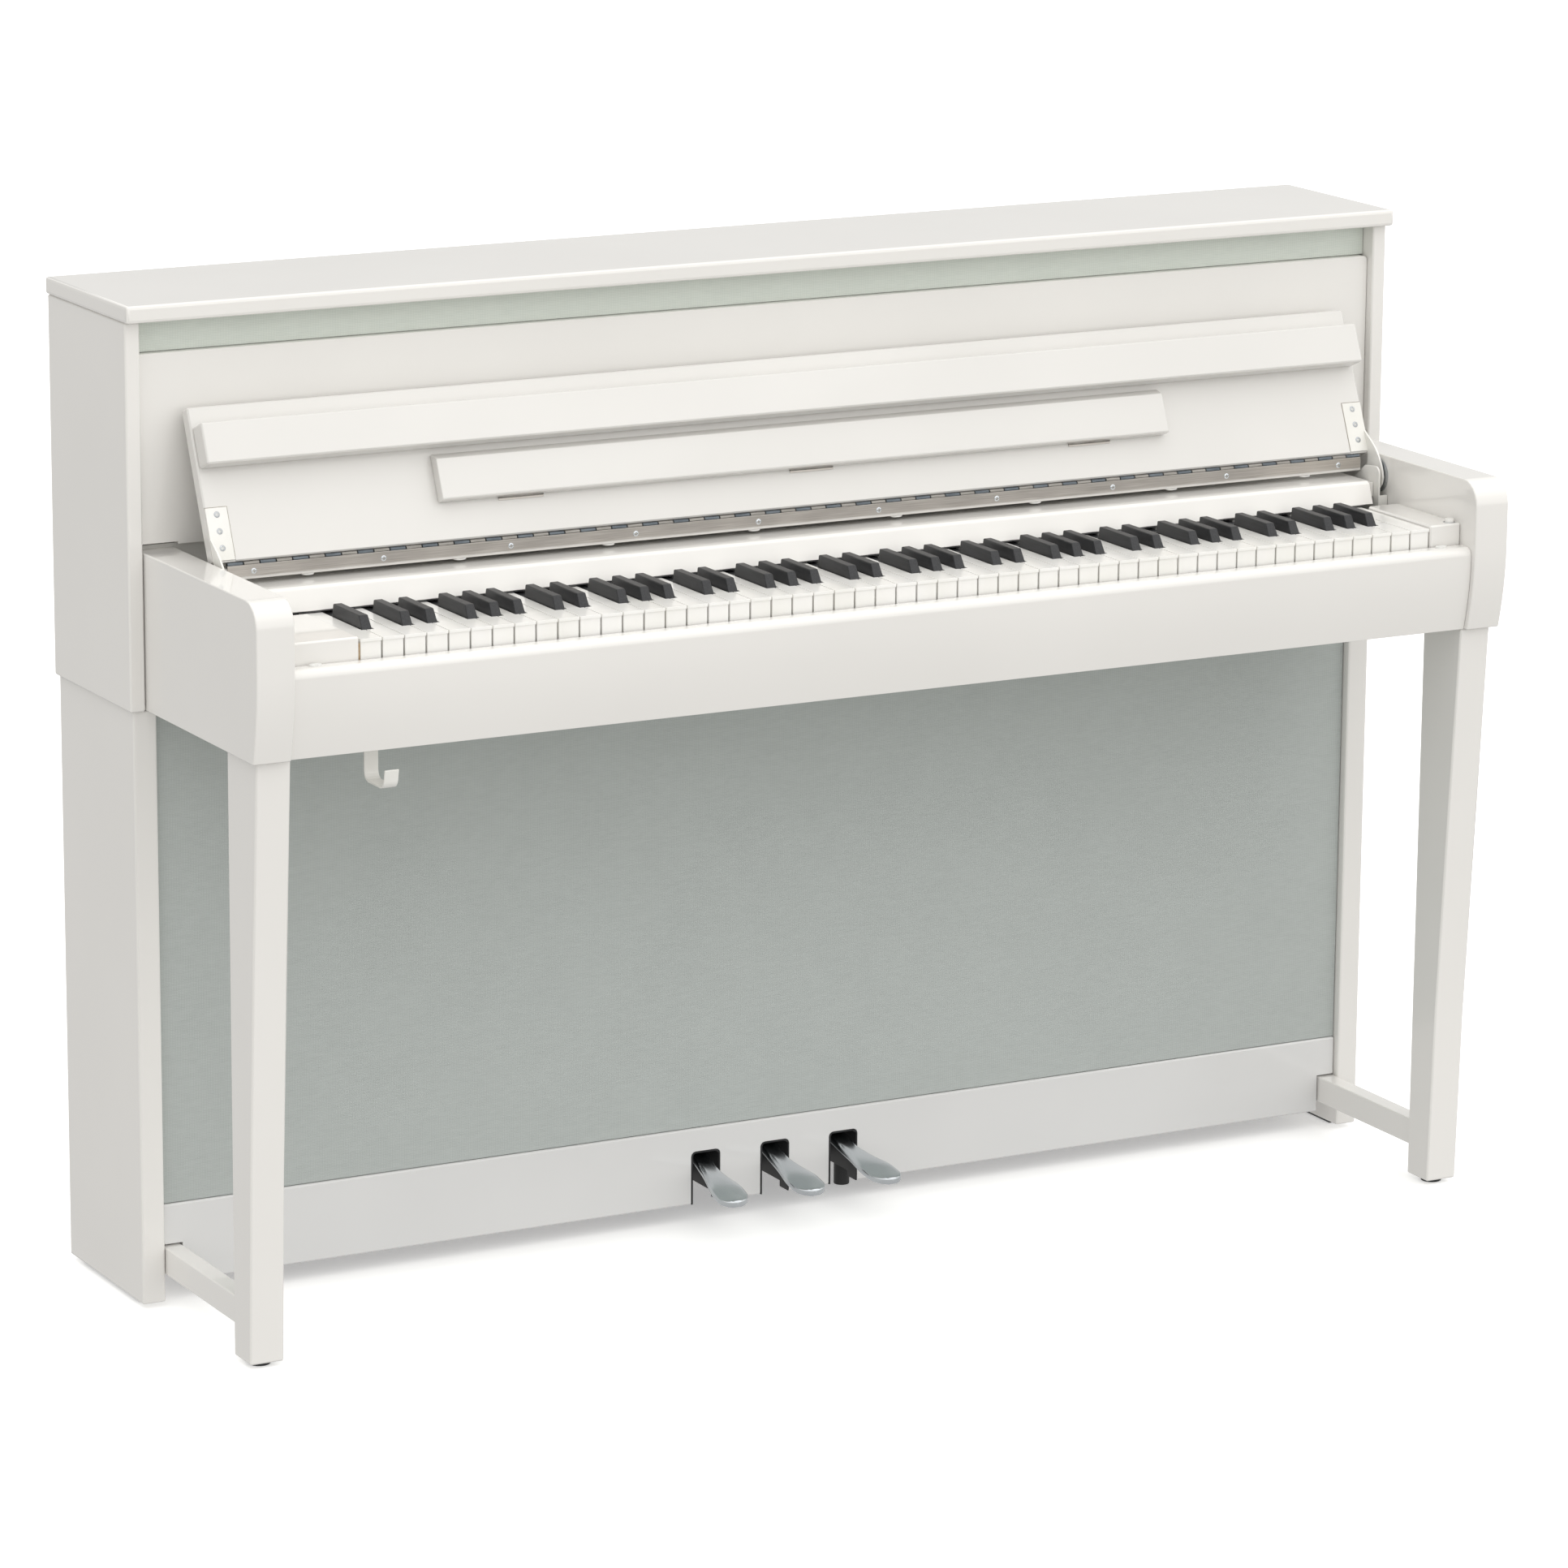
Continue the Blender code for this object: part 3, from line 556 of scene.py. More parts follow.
# ---------------------------------------------------------------- cabinet

LACQUERED = ("top_board", "left_upper_side", "right_upper_side", "left_lower_side", "right_lower_side",
             "left_arm", "right_arm", "left_front_leg", "right_front_leg", "left_stretcher",
             "right_stretcher", "key_slip", "left_cheek_block", "right_cheek_block", "nameboard",
             "upper_front_panel")
DUST_SHELF = (746, 749)


def span(node, axis):
    low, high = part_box(node)
    return low[axis] / MM, high[axis] / MM


def build_cabinet(props):
    for node in LACQUERED:
        board(node, FINISHES["lacquer"], props.edge_radius / MM)
    # The baseboard's lacquer is darkened with painted shade
    board("baseboard", FINISHES["grey_lacquer"], props.edge_radius / MM)
    board("keybed", FINISHES["satin"], 0.4)
    for word in ("left", "right"):
        for part in ("leg_glide", "side_glide"):
            board(f"{word}_{part}", FINISHES["black"], 0.6, 2)
        board(f"{word}_side_plate", FINISHES["powder"], 0.4, 2)
    # A dark felt strip closes the gap between the nameboard and the keys
    x0, x1 = span("nameboard", 0)
    front = span("nameboard", 1)[0]
    low = span("nameboard", 2)[0]
    strip = block("nameboard_felt", (x0 + 22, x1 - 22), (front + 1.2, front + 12), (low - 1.5, low - 0.1),
                  0.4)
    complete(strip, "cabinet", "black_plastic", FINISHES["felt"])
    # Two thin boards behind the nameboard keep dust, and the eye, out of the case when the lid is down
    rear, panel_rear = span("nameboard", 1)[1], span("upper_front_panel", 1)[1]
    wide = tuple(edge * 0.995 for edge in span("upper_front_panel", 0))
    low, high = DUST_SHELF
    shelf = block("dust_shelf", wide, (rear + 0.2, panel_rear - 4.2), (low, high), 0.4)
    complete(shelf, "cabinet", "white_satin", FINISHES["satin"])
    panel_low = span("upper_front_panel", 2)[0]
    wall = block("dust_wall", wide, (panel_rear - 4, panel_rear - 1), (low, panel_low - 0.2), 0.4)
    complete(wall, "cabinet", "white_satin", FINISHES["satin"])


def build_cloth(props):
    """Each grille is a board with speaker cloth stretched over its front and turned in round its edges."""
    # The upper grille's cloth is the paler copy with painted light
    for node, finish in (("lower_grille", "cloth"), ("upper_grille", "upper_cloth")):
        x, y, z = (span(node, axis) for axis in range(3))
        inner = block(node + "_board", (x[0] + 1, x[1] - 1), (y[0] + 1, y[1]), (z[0] + 1, z[1] - 1), 0.5)
        complete(inner, "cabinet", "cloth", FINISHES["black"], node)
        turn_in = y[1] - y[0] - 1.5
        cloth = cloth_sheet(node + "_cloth", x, y[0], z, turn_in)
        complete(cloth, "cabinet", "cloth", FINISHES[finish])


def cloth_sheet(name, x, front, z, turn_in):
    """A tight sheet of cloth, rounded over the edges of the board behind it."""
    radius = 1.5
    cage = bmesh.new()
    loops = []
    steps = [(0, turn_in)] + [(radius * (1 - math.cos(a)), radius * (1 - math.sin(a)))
                              for a in (math.pi / 2 * i / 4 for i in range(5))]
    for inset, depth in steps:
        loops.append([cage.verts.new((u, front + depth, v)) for u, v in
                      ((x[0] + inset, z[0] + inset), (x[1] - inset, z[0] + inset),
                       (x[1] - inset, z[1] - inset), (x[0] + inset, z[1] - inset))])
    bridge(cage, loops)
    cage.faces.new(loops[-1])
    bmesh.ops.recalc_face_normals(cage, faces=cage.faces)
    obj = smooth(from_cage(name, cage), 60)
    thickness = obj.modifiers.new("cloth thickness", "SOLIDIFY")
    thickness.thickness = 0.45 * MM
    thickness.offset = -1
    return obj


# ---------------------------------------------------------------- keyboard

def letter(index):
    return "ABCDEFG"[index % 7]


def black_centre(index):
    offset = BLACK_OFFSETS.get(letter(index))
    if offset is None or not 0 <= index < WHITE_COUNT - 1:
        return None
    return KEYBOARD_LEFT + (index + 1) * WHITE_PITCH + offset


def white_outline(index, front, rear, side_gap, black_reach):
    left = KEYBOARD_LEFT + index * WHITE_PITCH + side_gap
    right = left + WHITE_PITCH - 2 * side_gap
    cut = BLACK_FRONT - 2
    outline = [(left, front), (right, front)]
    after = black_centre(index)
    if after is None:
        outline += [(right, rear)]
    else:
        outline += [(right, cut), (after - black_reach, cut), (after - black_reach, rear)]
    before = black_centre(index - 1)
    if before is None:
        outline += [(left, rear)]
    else:
        outline += [(before + black_reach, rear), (before + black_reach, cut), (left, cut)]
    return outline


def white_key(name, index, low, high):
    """A key top with a lip that stands proud of the lever below it."""
    front = span("white_key_bank", 1)[0]
    cage = bmesh.new()
    prism(cage, white_outline(index, front, STICK_REAR, 0.6, 6.9), high - 3.2, high)
    prism(cage, white_outline(index, front + 1.1, STICK_REAR, 1.0, 7.1), low, high - 3.1)
    return rounded(from_cage(name, cage), 0.25, 2)


def black_key(name, index, low, high):
    """A sharp: sloped in front, narrower on top, rounded all over, on a straight stick."""
    middle = black_centre(index)
    cage = bmesh.new()
    base_z, top_z = low + 13, high
    rings = []
    for half, front, rear, z in ((5.9, 0, 0, low), (5.9, 0, 0, base_z), (5.5, 1.2, 0.3, base_z + 1.5),
                                 (4.75, 8.5, 1.2, top_z)):
        corners = [(-half, BLACK_FRONT + front), (half, BLACK_FRONT + front),
                   (half, BLACK_HEAD_REAR - rear), (-half, BLACK_HEAD_REAR - rear)]
        rings.append([cage.verts.new((middle + x, y, z)) for x, y in corners])
    faces = [cage.faces.new(rings[0]), cage.faces.new(rings[-1]), *bridge(cage, rings)]
    bmesh.ops.recalc_face_normals(cage, faces=faces)
    outline = [(middle - 5.9, BLACK_HEAD_REAR - 2), (middle + 5.9, BLACK_HEAD_REAR - 2),
               (middle + 5.9, STICK_REAR), (middle - 5.9, STICK_REAR)]
    prism(cage, outline, low + 0.1, base_z - 0.1)
    return rounded(from_cage(name, cage), 1.1, 4, 25)


def octave(name, keys):
    """Copies of one octave's keys, joined and kept out of sight, for the rows to repeat."""
    graph = bpy.context.evaluated_depsgraph_get()
    meshes = [bpy.data.meshes.new_from_object(key.evaluated_get(graph)) for key in keys]
    return hidden(join(name, [new_object(key.name + "_copy", mesh) for key, mesh in zip(keys, meshes)]))


def build_keys(props):
    """One octave has a hinge for each key. Its keys are repeated on two rails for the rest."""
    z = {"white": span("white_key_C", 2), "black": span("black_key_C_sharp", 2)}
    shape = {"white": white_key, "black": black_key}
    singles = {"white": [], "black": []}
    for index in range(SINGLE_START, SINGLE_END):
        for colour, end in (("white", ""), ("black", "_sharp")):
            node = f"{colour}_key_{letter(index)}{end}"
            if node in NODES:
                key = shape[colour](node + "_finished", index, *z[colour])
                slot = colour + "_key"
                singles[colour].append(complete(key, body_of(node), slot, FINISHES[slot], node))
    bpy.context.view_layer.update()
    step = metres(7 * WHITE_PITCH, 0, 0)
    for colour, keys in singles.items():
        bank, slot, finish = f"{colour}_key_bank", f"{colour}_key", FINISHES[f"{colour}_key"]
        piece = octave(f"{colour}_octave", keys)
        row(f"{colour}_keys_low", piece, 3, -3 * step, step, finish, bank, slot)
        row(f"{colour}_keys_high", piece, 3, step, step, finish, bank, slot)
        discard(piece)
        # The keyboard starts two keys below its first C and ends on its last
        ends = (0, 1, WHITE_COUNT - 1) if colour == "white" else (0,)
        for index in ends:
            key = shape[colour](f"{colour}_key_at_{index}", index, *z[colour])
            complete(key, bank, slot, finish)
        rail = block(f"{colour}_rail", (KEYBOARD_LEFT + 3, KEYBOARD_LEFT + WHITE_COUNT * WHITE_PITCH - 3),
                     RAIL_DEPTH, RAIL_HEIGHTS[colour], 0.8)
        complete(rail, bank, slot, FINISHES["black"], bank)
    low, high = z["white"]
    front = span("white_key_bank", 1)[0]
    side = block("end_key_side", (KEYBOARD_LEFT - 0.3, KEYBOARD_LEFT + 0.6), (front + 2.5, front + 110),
                 (low + 0.8, high - 4.5), 0.1)
    complete(side, "white_key_bank", "hardboard", FINISHES["spruce"])


# ---------------------------------------------------------------- fallboard

def build_fallboard(props):
    # These four pieces get the white lacquer darkened with painted shade
    for node in ("fallboard", "fallboard_flap", "music_rest", "rear_slat"):
        board(node, FINISHES["lid_lacquer"], props.edge_radius / MM)
    for word, side in (("left", -1), ("right", 1)):
        board(f"{word}_end_bracket", FINISHES["powder"], 0.35, 2)
        # Each bracket's plate has a fine dark line round it: a thin grey-brown sheet, painted as its shadow
        cage = bmesh.new()
        inner, outer, front, rear = side * 646.3, side * 669.7, -81.7, -30
        bed = [(outer, rear), (inner, rear), (inner, front), (outer, front)]
        prism(cage, bed, 3.78, 4.3)
        complete(from_cage(f"{word}_bracket_bed", cage, LID), "fallboard", "black_plastic", FINISHES["bed"])
    # Three small butt hinges along the lower edge of the music rest
    edge, half = -64.7, 25
    for i, x in enumerate((-330, 0, 330)):
        leaf = block(f"rest_hinge_leaf_{i}", (x - half, x + half), (edge + 0.8, edge + 3.0), (3.0, 3.6),
                     0.2, LID)
        complete(leaf, "fallboard", "nickel", FINISHES["nickel"])
        axis = Vector(JOINTS["music_rest_hinge"]["pos_m"])
        axis.x = x * MM
        quarter = Matrix.Translation(axis) @ Matrix.Rotation(math.pi / 2, 4, "Y")
        profile = [(0, -half), (1.0, -half), (1.2, 0.4 - half), (1.2, half - 0.4), (1.0, half), (0, half)]
        barrel = turned(f"rest_hinge_barrel_{i}", profile, 14, quarter)
        # The barrels get the nickel darkened with painted shade
        complete(barrel, "fallboard", "nickel", FINISHES["worn_knuckle"])


def build_piano_hinge(props):
    nickel, bright = FINISHES["nickel"], FINISHES["knuckle"]
    x0, x1 = span("piano_hinge", 0)
    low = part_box("piano_hinge")[0]
    leaf_y = PIN.y / MM - 3.1
    leaf = block("hinge_leaf", (x0, x1), (leaf_y, leaf_y + 1.2), (low.z / MM, PIN.z / MM - 0.5), 0.25)
    complete(leaf, "rear_slat", "nickel", nickel, "piano_hinge")
    # Knuckles take turns between the leaf on the slat and the leaf on the fallboard
    count = int((x1 - x0) / props.knuckle_pitch * MM)
    pitch = (x1 - x0) / count
    length = pitch - 0.7
    profile = [(0, 0.35), (2.3, 0.35), (2.75, 0.7), (2.75, length), (2.3, length + 0.35), (0, length + 0.35)]
    along_x = Matrix.Rotation(math.pi / 2, 4, "Y")
    knuckle = hidden(turned("hinge_knuckle", profile, 16, along_x))
    start = Vector((x0 * MM, PIN.y, PIN.z))
    step = metres(2 * pitch, 0, 0)
    # The slat's knuckles carry the deeper painted shade, the fallboard's the lighter
    row("hinge_knuckles_slat", knuckle, (count + 1) // 2, start, step, bright, "rear_slat", "nickel")
    row("hinge_knuckles_fallboard", knuckle, count // 2, start + step / 2, step, FINISHES["worn_knuckle"],
        "fallboard", "nickel")
    discard(knuckle)
    facing_player = Matrix.Rotation(math.pi / 2, 4, "X")
    screw = screw_piece("hinge_screw", 3.0, facing_player)
    height = (PIN.z + low.z) / 2 / MM - 1.2
    end = 28
    first = metres(x0 + end, leaf_y - 0.15, height)
    gaps = round((x1 - x0 - 2 * end) * MM / props.screw_pitch)
    step = metres((x1 - x0 - 2 * end) / gaps, 0, 0)
    row("hinge_screws", screw, gaps + 1, first, step, FINISHES["chrome"], "rear_slat", "steel")
    discard(screw)


def build_brackets(props):
    """Screws in the end brackets, and the dampers that carry the fallboard."""
    outward = LID @ Matrix.Rotation(math.pi, 4, "X")
    turn = outward.to_3x3().to_4x4()
    screw = screw_piece("bracket_screw", 3.2, turn)
    for word, side in (("left", -1), ("right", 1)):
        first = LID @ metres(side * 658.5, -74, 3.3)
        step = LID.to_3x3() @ metres(0, 16.9, 0)
        row(f"{word}_bracket_screws", screw, 3, first, step, FINISHES["zinc"], "fallboard", "steel")
        along = Matrix.Rotation(side * math.pi / 2, 4, "Y")
        at_hub = Matrix.Translation(HUB + metres(side * 670.5, 0, 0)) @ along
        profile = [(0, 0), (6, 0), (7, 0.6), (11.2, 0.6), (12, 1.2), (12, 21), (0, 21)]
        damper = turned(f"{word}_damper_body", profile, 40, at_hub)
        complete(damper, "cabinet", "black_plastic", FINISHES["black"], f"{word}_damper")
        ring = [(12.2, 1.1), (17.9, 1.1), (18.5, 1.5), (18.5, 2.6), (12.2, 2.6), (12.2, 1.1)]
        flange = turned(f"{word}_damper_ring", ring, 40, at_hub)
        complete(flange, "cabinet", "steel", FINISHES["zinc"])
    discard(screw)


# ---------------------------------------------------------------- pedals and small parts

def smoothstep(t):
    t = min(max(t, 0), 1)
    return t * t * (3 - 2 * t)


def along(table, y):
    """The height at y on a smooth curve through a table of (y, height) stations."""
    for i, ((y0, z0), (y1, z1)) in enumerate(zip(table, table[1:])):
        if y1 <= y <= y0:
            before, after = table[max(i - 1, 0)], table[min(i + 2, len(table) - 1)]
            rise = ((z1 - before[1]) / (y1 - before[0]), (after[1] - z0) / (after[0] - y0))
            t = (y - y0) / (y1 - y0)
            bend = t * (1 - t) * ((1 - t) * rise[0] - t * rise[1]) * (y1 - y0)
            return z0 + (z1 - z0) * t * t * (3 - 2 * t) + bend
    return table[-1][1]


def pedal_shape(name, pivot, splay):
    """A cast lever: a narrow neck that flattens into a round toe with a crown and an upright rim."""
    radius, toe, rim = 17.5, -157.0, 1.3
    tip = toe - radius
    tops = [(6, 5), (-60, 1), (-90, -8), (-115, -13.5), (-140, -18), (-160, -22), (-176, -24.5)]
    unders = [(6, -5), (-55, -6), (-75, -12), (-95, -18), (-120, -21.5), (-150, -27), (-176, -31)]
    stations = [6 - 3 * i for i in range(54)]
    turns = (8, 18, 28, 38, 48, 57, 65, 72, 78, 83, 87)
    stations += [toe - radius * math.sin(math.radians(angle)) for angle in turns]
    cage = bmesh.new()
    rings = []
    for y in stations:
        wide = smoothstep((-88 - y) / 60)
        half = 9.2 + (radius - 9.2) * wide
        if y < toe:
            half = math.sqrt(max(radius ** 2 - (toe - y) ** 2, 0.2))
        middle = splay * min(max((-70 - y) / 87, 0), 1.2)
        top, under = along(tops, y), along(unders, y)
        # The rim's rounding goes round the tip as well
        past = max(0, rim - (y - tip))
        corner = rim - math.sqrt(max(rim ** 2 - past ** 2, 0))
        top, under = top - corner, under + corner
        # Flat borders lie lower than the crowned tongue until the toe, where they run out
        border = 1.5 * smoothstep((-78 - y) / 14) * (1 - smoothstep((-112 - y) / 34))
        crown = 1.3 * smoothstep((-84 - y) / 40)
        radius_here = min(rim, half * 0.35)
        section = []
        for angle in (0, 30, 60, 90):
            a = math.radians(angle)
            section.append((half - radius_here * (1 - math.cos(a)),
                            top - border - radius_here * (1 - math.sin(a))))
        for share, rise in ((0.82, 0.0), (0.74, 0.75), (0.62, 1.0), (0.4, 1.0), (0.2, 1.0)):
            lift = border * (rise - 1) + crown * (1 - share ** 2) * smoothstep((half - 1) / 8)
            section.append((half * share, top + lift))
        section.append((0, top + crown * smoothstep((half - 1) / 8)))
        mirrored = [(-x, z) for x, z in reversed(section[:-1])]
        below = [(-half, under + radius_here), (-half + radius_here * 0.3, under + radius_here * 0.3),
                 (-half + radius_here, under), (0, under), (half - radius_here, under),
                 (half - radius_here * 0.3, under + radius_here * 0.3), (half, under + radius_here)]
        rings.append([cage.verts.new((middle + x, y, z)) for x, z in section + mirrored + below])
    cage.faces.new(rings[0])
    cage.faces.new(rings[-1])
    bridge(cage, rings)
    bmesh.ops.recalc_face_normals(cage, faces=cage.faces)
    return smooth(from_cage(name, cage, Matrix.Translation(pivot)), 42)


def build_pedals(props):
    for word, splay in (("left", -8.2), ("middle", 0), ("right", 8.2)):
        pivot = Vector(JOINTS[f"{word}_pedal_hinge"]["pos_m"])
        pedal = pedal_shape(f"{word}_pedal_finished", pivot, splay)
        complete(pedal, f"{word}_pedal", "chrome", FINISHES["chrome"], f"{word}_pedal")
        notch_liner(word, pivot.x / MM)
    board("pedal_box", FINISHES["black"], 0.5, 2)
    board("pedal_adjuster", FINISHES["black"], 0.6, 3)


def notch_liner(word, x):
    """A black strip lines each notch of the baseboard, standing a little proud of its front."""
    y0, y1 = span("baseboard", 1)
    half, top, low, wall = 16.9, 79.4, span("baseboard", 2)[0], 1.6
    outer = [(x - half, low), (x - half, top - 5)] + arc_points(x - half + 5, top - 5, 5, 180, 90)
    outer += arc_points(x + half - 5, top - 5, 5, 90, 0) + [(x + half, low)]
    inner = [(x + half - wall, low)] + arc_points(x + half - 5, top - 5, 5 - wall, 0, 90)
    inner += arc_points(x - half + 5, top - 5, 5 - wall, 90, 180) + [(x - half + wall, low)]
    cage = bmesh.new()
    prism(cage, outer + inner, y0 - 0.5, y1 - 0.2, "Y")
    liner = rounded(from_cage(f"{word}_notch_liner", cage), 0.25, 2)
    complete(liner, "cabinet", "black_plastic", FINISHES["black"])


def arc_points(u, v, radius, start, end, steps=5):
    angles = [math.radians(start + (end - start) * i / steps) for i in range(steps + 1)]
    return [(u + radius * math.cos(a), v + radius * math.sin(a)) for a in angles]


def build_fittings(props):
    """The headphone hook, the power button and the rubber bumpers."""
    board("headphone_hook", FINISHES["powder"], 0.5, 3)
    x, y = (sum(span("power_button", axis)) / 2 for axis in (0, 1))
    top = span("right_cheek_block", 2)[1]
    profile = [(0, -4), (4.8, -4), (4.8, 3.0), (4.4, 3.7), (3.6, 3.95), (0, 3.6)]
    button = turned("power_button_cap", profile, 32, Matrix.Translation(metres(x, y, top)))
    complete(button, "power_button", "white_satin", FINISHES["satin"], "power_button")
    ring = [(5.4, -1), (6.4, -1), (6.4, 0.15), (6.1, 0.35), (5.6, 0.35), (5.4, 0.1), (5.4, -1)]
    collar = turned("power_button_ring", ring, 32, Matrix.Translation(metres(x, y, top)))
    complete(collar, "cabinet", "steel", FINISHES["zinc"])
    pad = oval_pad("bumper", 6.8, 4.2, 2.1)
    slip_top = span("key_slip", 2)[1]
    row("key_slip_bumpers", pad, 2, metres(-643, REAR - 450.8, slip_top), metres(1288, 0, 0),
        FINISHES["rubber"], "cabinet", "white_satin")
    # The slat's bumpers hang from its lower edge, just clear of the nameboard
    pad.data.transform(Matrix.Rotation(math.pi, 4, "X"))
    slat_y, slat_low = span("rear_slat", 1)[0], span("rear_slat", 2)[0]
    row("slat_bumpers", pad, 8, metres(-568.6, slat_y + 4.6, slat_low), metres(165.6, 0, 0),
        FINISHES["rubber"], "rear_slat", "white_satin")
    discard(pad)


def oval_pad(name, length, width, height):
    """A low oval rubber pad with a domed top."""
    profile = [(0, 0), (1, 0), (1, 0.45), (0.92, 0.8), (0.7, 0.95), (0, 1)]
    pad = turned(name, profile, 24)
    pad.data.transform(Matrix.Diagonal((length, width, height, 1)))
    return hidden(pad)


def build_back(props):
    """The back panels with their screws, and the case with its sockets."""
    repaint("key_frame", FINISHES["hardboard"])
    repaint("amplifier_chassis", FINISHES["zinc"])
    for node in ("upper_back_panel", "lower_back_panel"):
        panel = board(node, FINISHES["hardboard"], 0)
        front = span(node, 1)[0] * MM
        for vertex in panel.data.vertices:
            vertex.co.y = front + (vertex.co.y - front) * 0.82
    facing_back = Matrix.Rotation(-math.pi / 2, 4, "X")
    screw = screw_piece("panel_screw", 3.6, facing_back)
    for node in ("upper_back_panel", "lower_back_panel"):
        x, z = span(node, 0), span(node, 2)
        y = span(node, 1)[1] - 0.62
        count, inset = 8, 15
        step = (x[1] - x[0] - 2 * inset) / (count - 1)
        for edge, height in (("top", z[1] - 12), ("bottom", z[0] + 12)):
            start = metres(x[0] + inset, y, height)
            row(f"{node}_{edge}_screws", screw, count, start, metres(step, 0, 0), FINISHES["zinc"],
                "cabinet", "steel")
    discard(screw)
    back = span("amplifier_chassis", 1)[1]
    lip = [(3.3, 0.4), (5.2, 0.4), (5.2, -0.9), (3.3, -0.9), (3.3, 0.4)]
    for i, x in enumerate((-25, 0, 25, 50, 72)):
        place = Matrix.Translation(metres(x, back, 672)) @ facing_back
        nut = turned(f"socket_nut_{i}", lip, 24, place)
        complete(nut, "cabinet", "nickel", FINISHES["nickel"])


# ---------------------------------------------------------------- stage

def build_stage(props):
    """A pale floor that glows a little, light from all round the room, and one wide soft light overhead."""
    cage = bmesh.new()
    bmesh.ops.create_grid(cage, x_segments=4, y_segments=4, size=40000)
    floor = from_cage("studio_floor", cage)
    floor.data.materials.append(floor_acrylic(props))
    # The floor is seen and takes shadows, and the room's own light from below takes the place of its glare
    floor.visible_diffuse = False
    floor.visible_glossy = False
    world = bpy.data.worlds.new("studio_light")
    bpy.context.scene.world = world
    world.use_nodes = True
    tree = world.node_tree
    direction = add(tree, "ShaderNodeTexCoord").outputs["Generated"]
    height = add(tree, "ShaderNodeSeparateXYZ", links={"Vector": direction}).outputs["Z"]
    # The room is brightest in front of the player's side and a little to the right
    lean = add(tree, "ShaderNodeVectorMath", {1: BRIGHT_SIDE}, {0: direction}, operation="DOT_PRODUCT")
    around = add(tree, "ShaderNodeMath", {1: props.horizon}, {0: lean.outputs["Value"]}, operation="ADD")
    dome = add(tree, "ShaderNodeMapRange", {"To Max": props.zenith},
               {"Value": height, "To Min": around.outputs[0]})
    # Light from below stands for what a grey studio floor gives back
    room = add(tree, "ShaderNodeMapRange", {"From Min": -0.08, "From Max": 0.0, "To Min": props.bounce},
               {"Value": height, "To Max": dome.outputs["Result"]})
    tree.links.new(room.outputs["Result"], tree.nodes["Background"].inputs["Strength"])
    tree.nodes["Background"].inputs["Color"].default_value = linear("#FFFEFC")
    light = bpy.data.lights.new("overhead_softbox", "SUN")
    light.energy = SOFTBOX["power"]
    light.angle = math.radians(SOFTBOX["spread"])
    lamp = new_object("overhead_softbox", light)
    lamp.location = SOFTBOX["place"]
    lamp.rotation_euler = (SOFTBOX["aim"] - lamp.location).to_track_quat("-Z", "Y").to_euler()
    build_camera()
    bpy.context.scene.view_settings.view_transform = "Standard"


def build_camera():
    yaw, pitch, roll = (math.radians(CAMERA[key]) for key in ("yaw", "pitch", "roll"))
    back = Vector((math.sin(yaw) * math.cos(pitch), -math.cos(yaw) * math.cos(pitch), math.sin(pitch)))
    level = Vector((math.cos(yaw), math.sin(yaw), 0))
    upright = back.cross(level)
    right = math.cos(roll) * level + math.sin(roll) * upright
    up = back.cross(right)
    data = bpy.data.cameras.new("studio_camera")
    data.lens = CAMERA["lens"]
    data.sensor_width = 36
    data.clip_end = 200
    camera = new_object("studio_camera", data)
    turn = Matrix((right, up, back)).transposed().to_4x4()
    camera.matrix_world = Matrix.Translation(Vector(CAMERA["place"])) @ turn
    bpy.context.scene.camera = camera


# ---------------------------------------------------------------- add-on

class PianoSettings(bpy.types.PropertyGroup):
    """Sizes and colours that can be changed before the pieces are built."""

    edge_radius: bpy.props.FloatProperty(
        name="Edge radius", description="How far the lacquered edges are rounded over",
        default=0.0007, min=0, max=0.003, precision=4, unit="LENGTH")
    knuckle_pitch: bpy.props.FloatProperty(
        name="Knuckle pitch", description="Distance from one knuckle of the piano hinge to the next",
        default=0.0175, min=0.005, max=0.05, precision=4, unit="LENGTH")
    screw_pitch: bpy.props.FloatProperty(
        name="Screw pitch", description="Distance from one screw of the piano hinge to the next",
        default=0.145, min=0.05, max=0.4, precision=4, unit="LENGTH")
    lacquer: bpy.props.FloatVectorProperty(
        name="Lacquer", description="Colour of the polished boards", size=4, subtype="COLOR",
        default=linear("#EFEDE9"), min=0, max=1)
    cloth: bpy.props.FloatVectorProperty(
        name="Speaker cloth", description="Colour of the lighter thread in the lower speaker cloth", size=4,
        subtype="COLOR", default=linear("#BDC3C0"), min=0, max=1)
    floor: bpy.props.FloatVectorProperty(
        name="Floor", description="Colour of the studio floor", size=4, subtype="COLOR",
        default=linear("#FBFBFA"), min=0, max=1)
    floor_glow: bpy.props.FloatProperty(
        name="Floor glow", description="How brightly the floor is lit from below", default=0.35, min=0)
    horizon: bpy.props.FloatProperty(
        name="Light at the horizon", description="Strength of the surrounding light at the horizon",
        default=0.93, min=0)
    bounce: bpy.props.FloatProperty(
        name="Light from below", description="Strength of the light that the studio floor gives back",
        default=0.62, min=0)
    zenith: bpy.props.FloatProperty(
        name="Light overhead", description="Strength of the surrounding light straight overhead",
        default=1.06, min=0)


class BuildCabinet(bpy.types.Operator):
    """Build the lacquered boards, the legs, their glides and the side plates"""

    bl_idname = "piano.cabinet"
    bl_label = "Cabinet"

    def execute(self, context):
        build_cabinet(context.scene.piano)
        return {"FINISHED"}


class BuildCloth(bpy.types.Operator):
    """Stretch the speaker cloth over the two grille boards"""

    bl_idname = "piano.cloth"
    bl_label = "Speaker cloth"

    def execute(self, context):
        build_cloth(context.scene.piano)
        return {"FINISHED"}


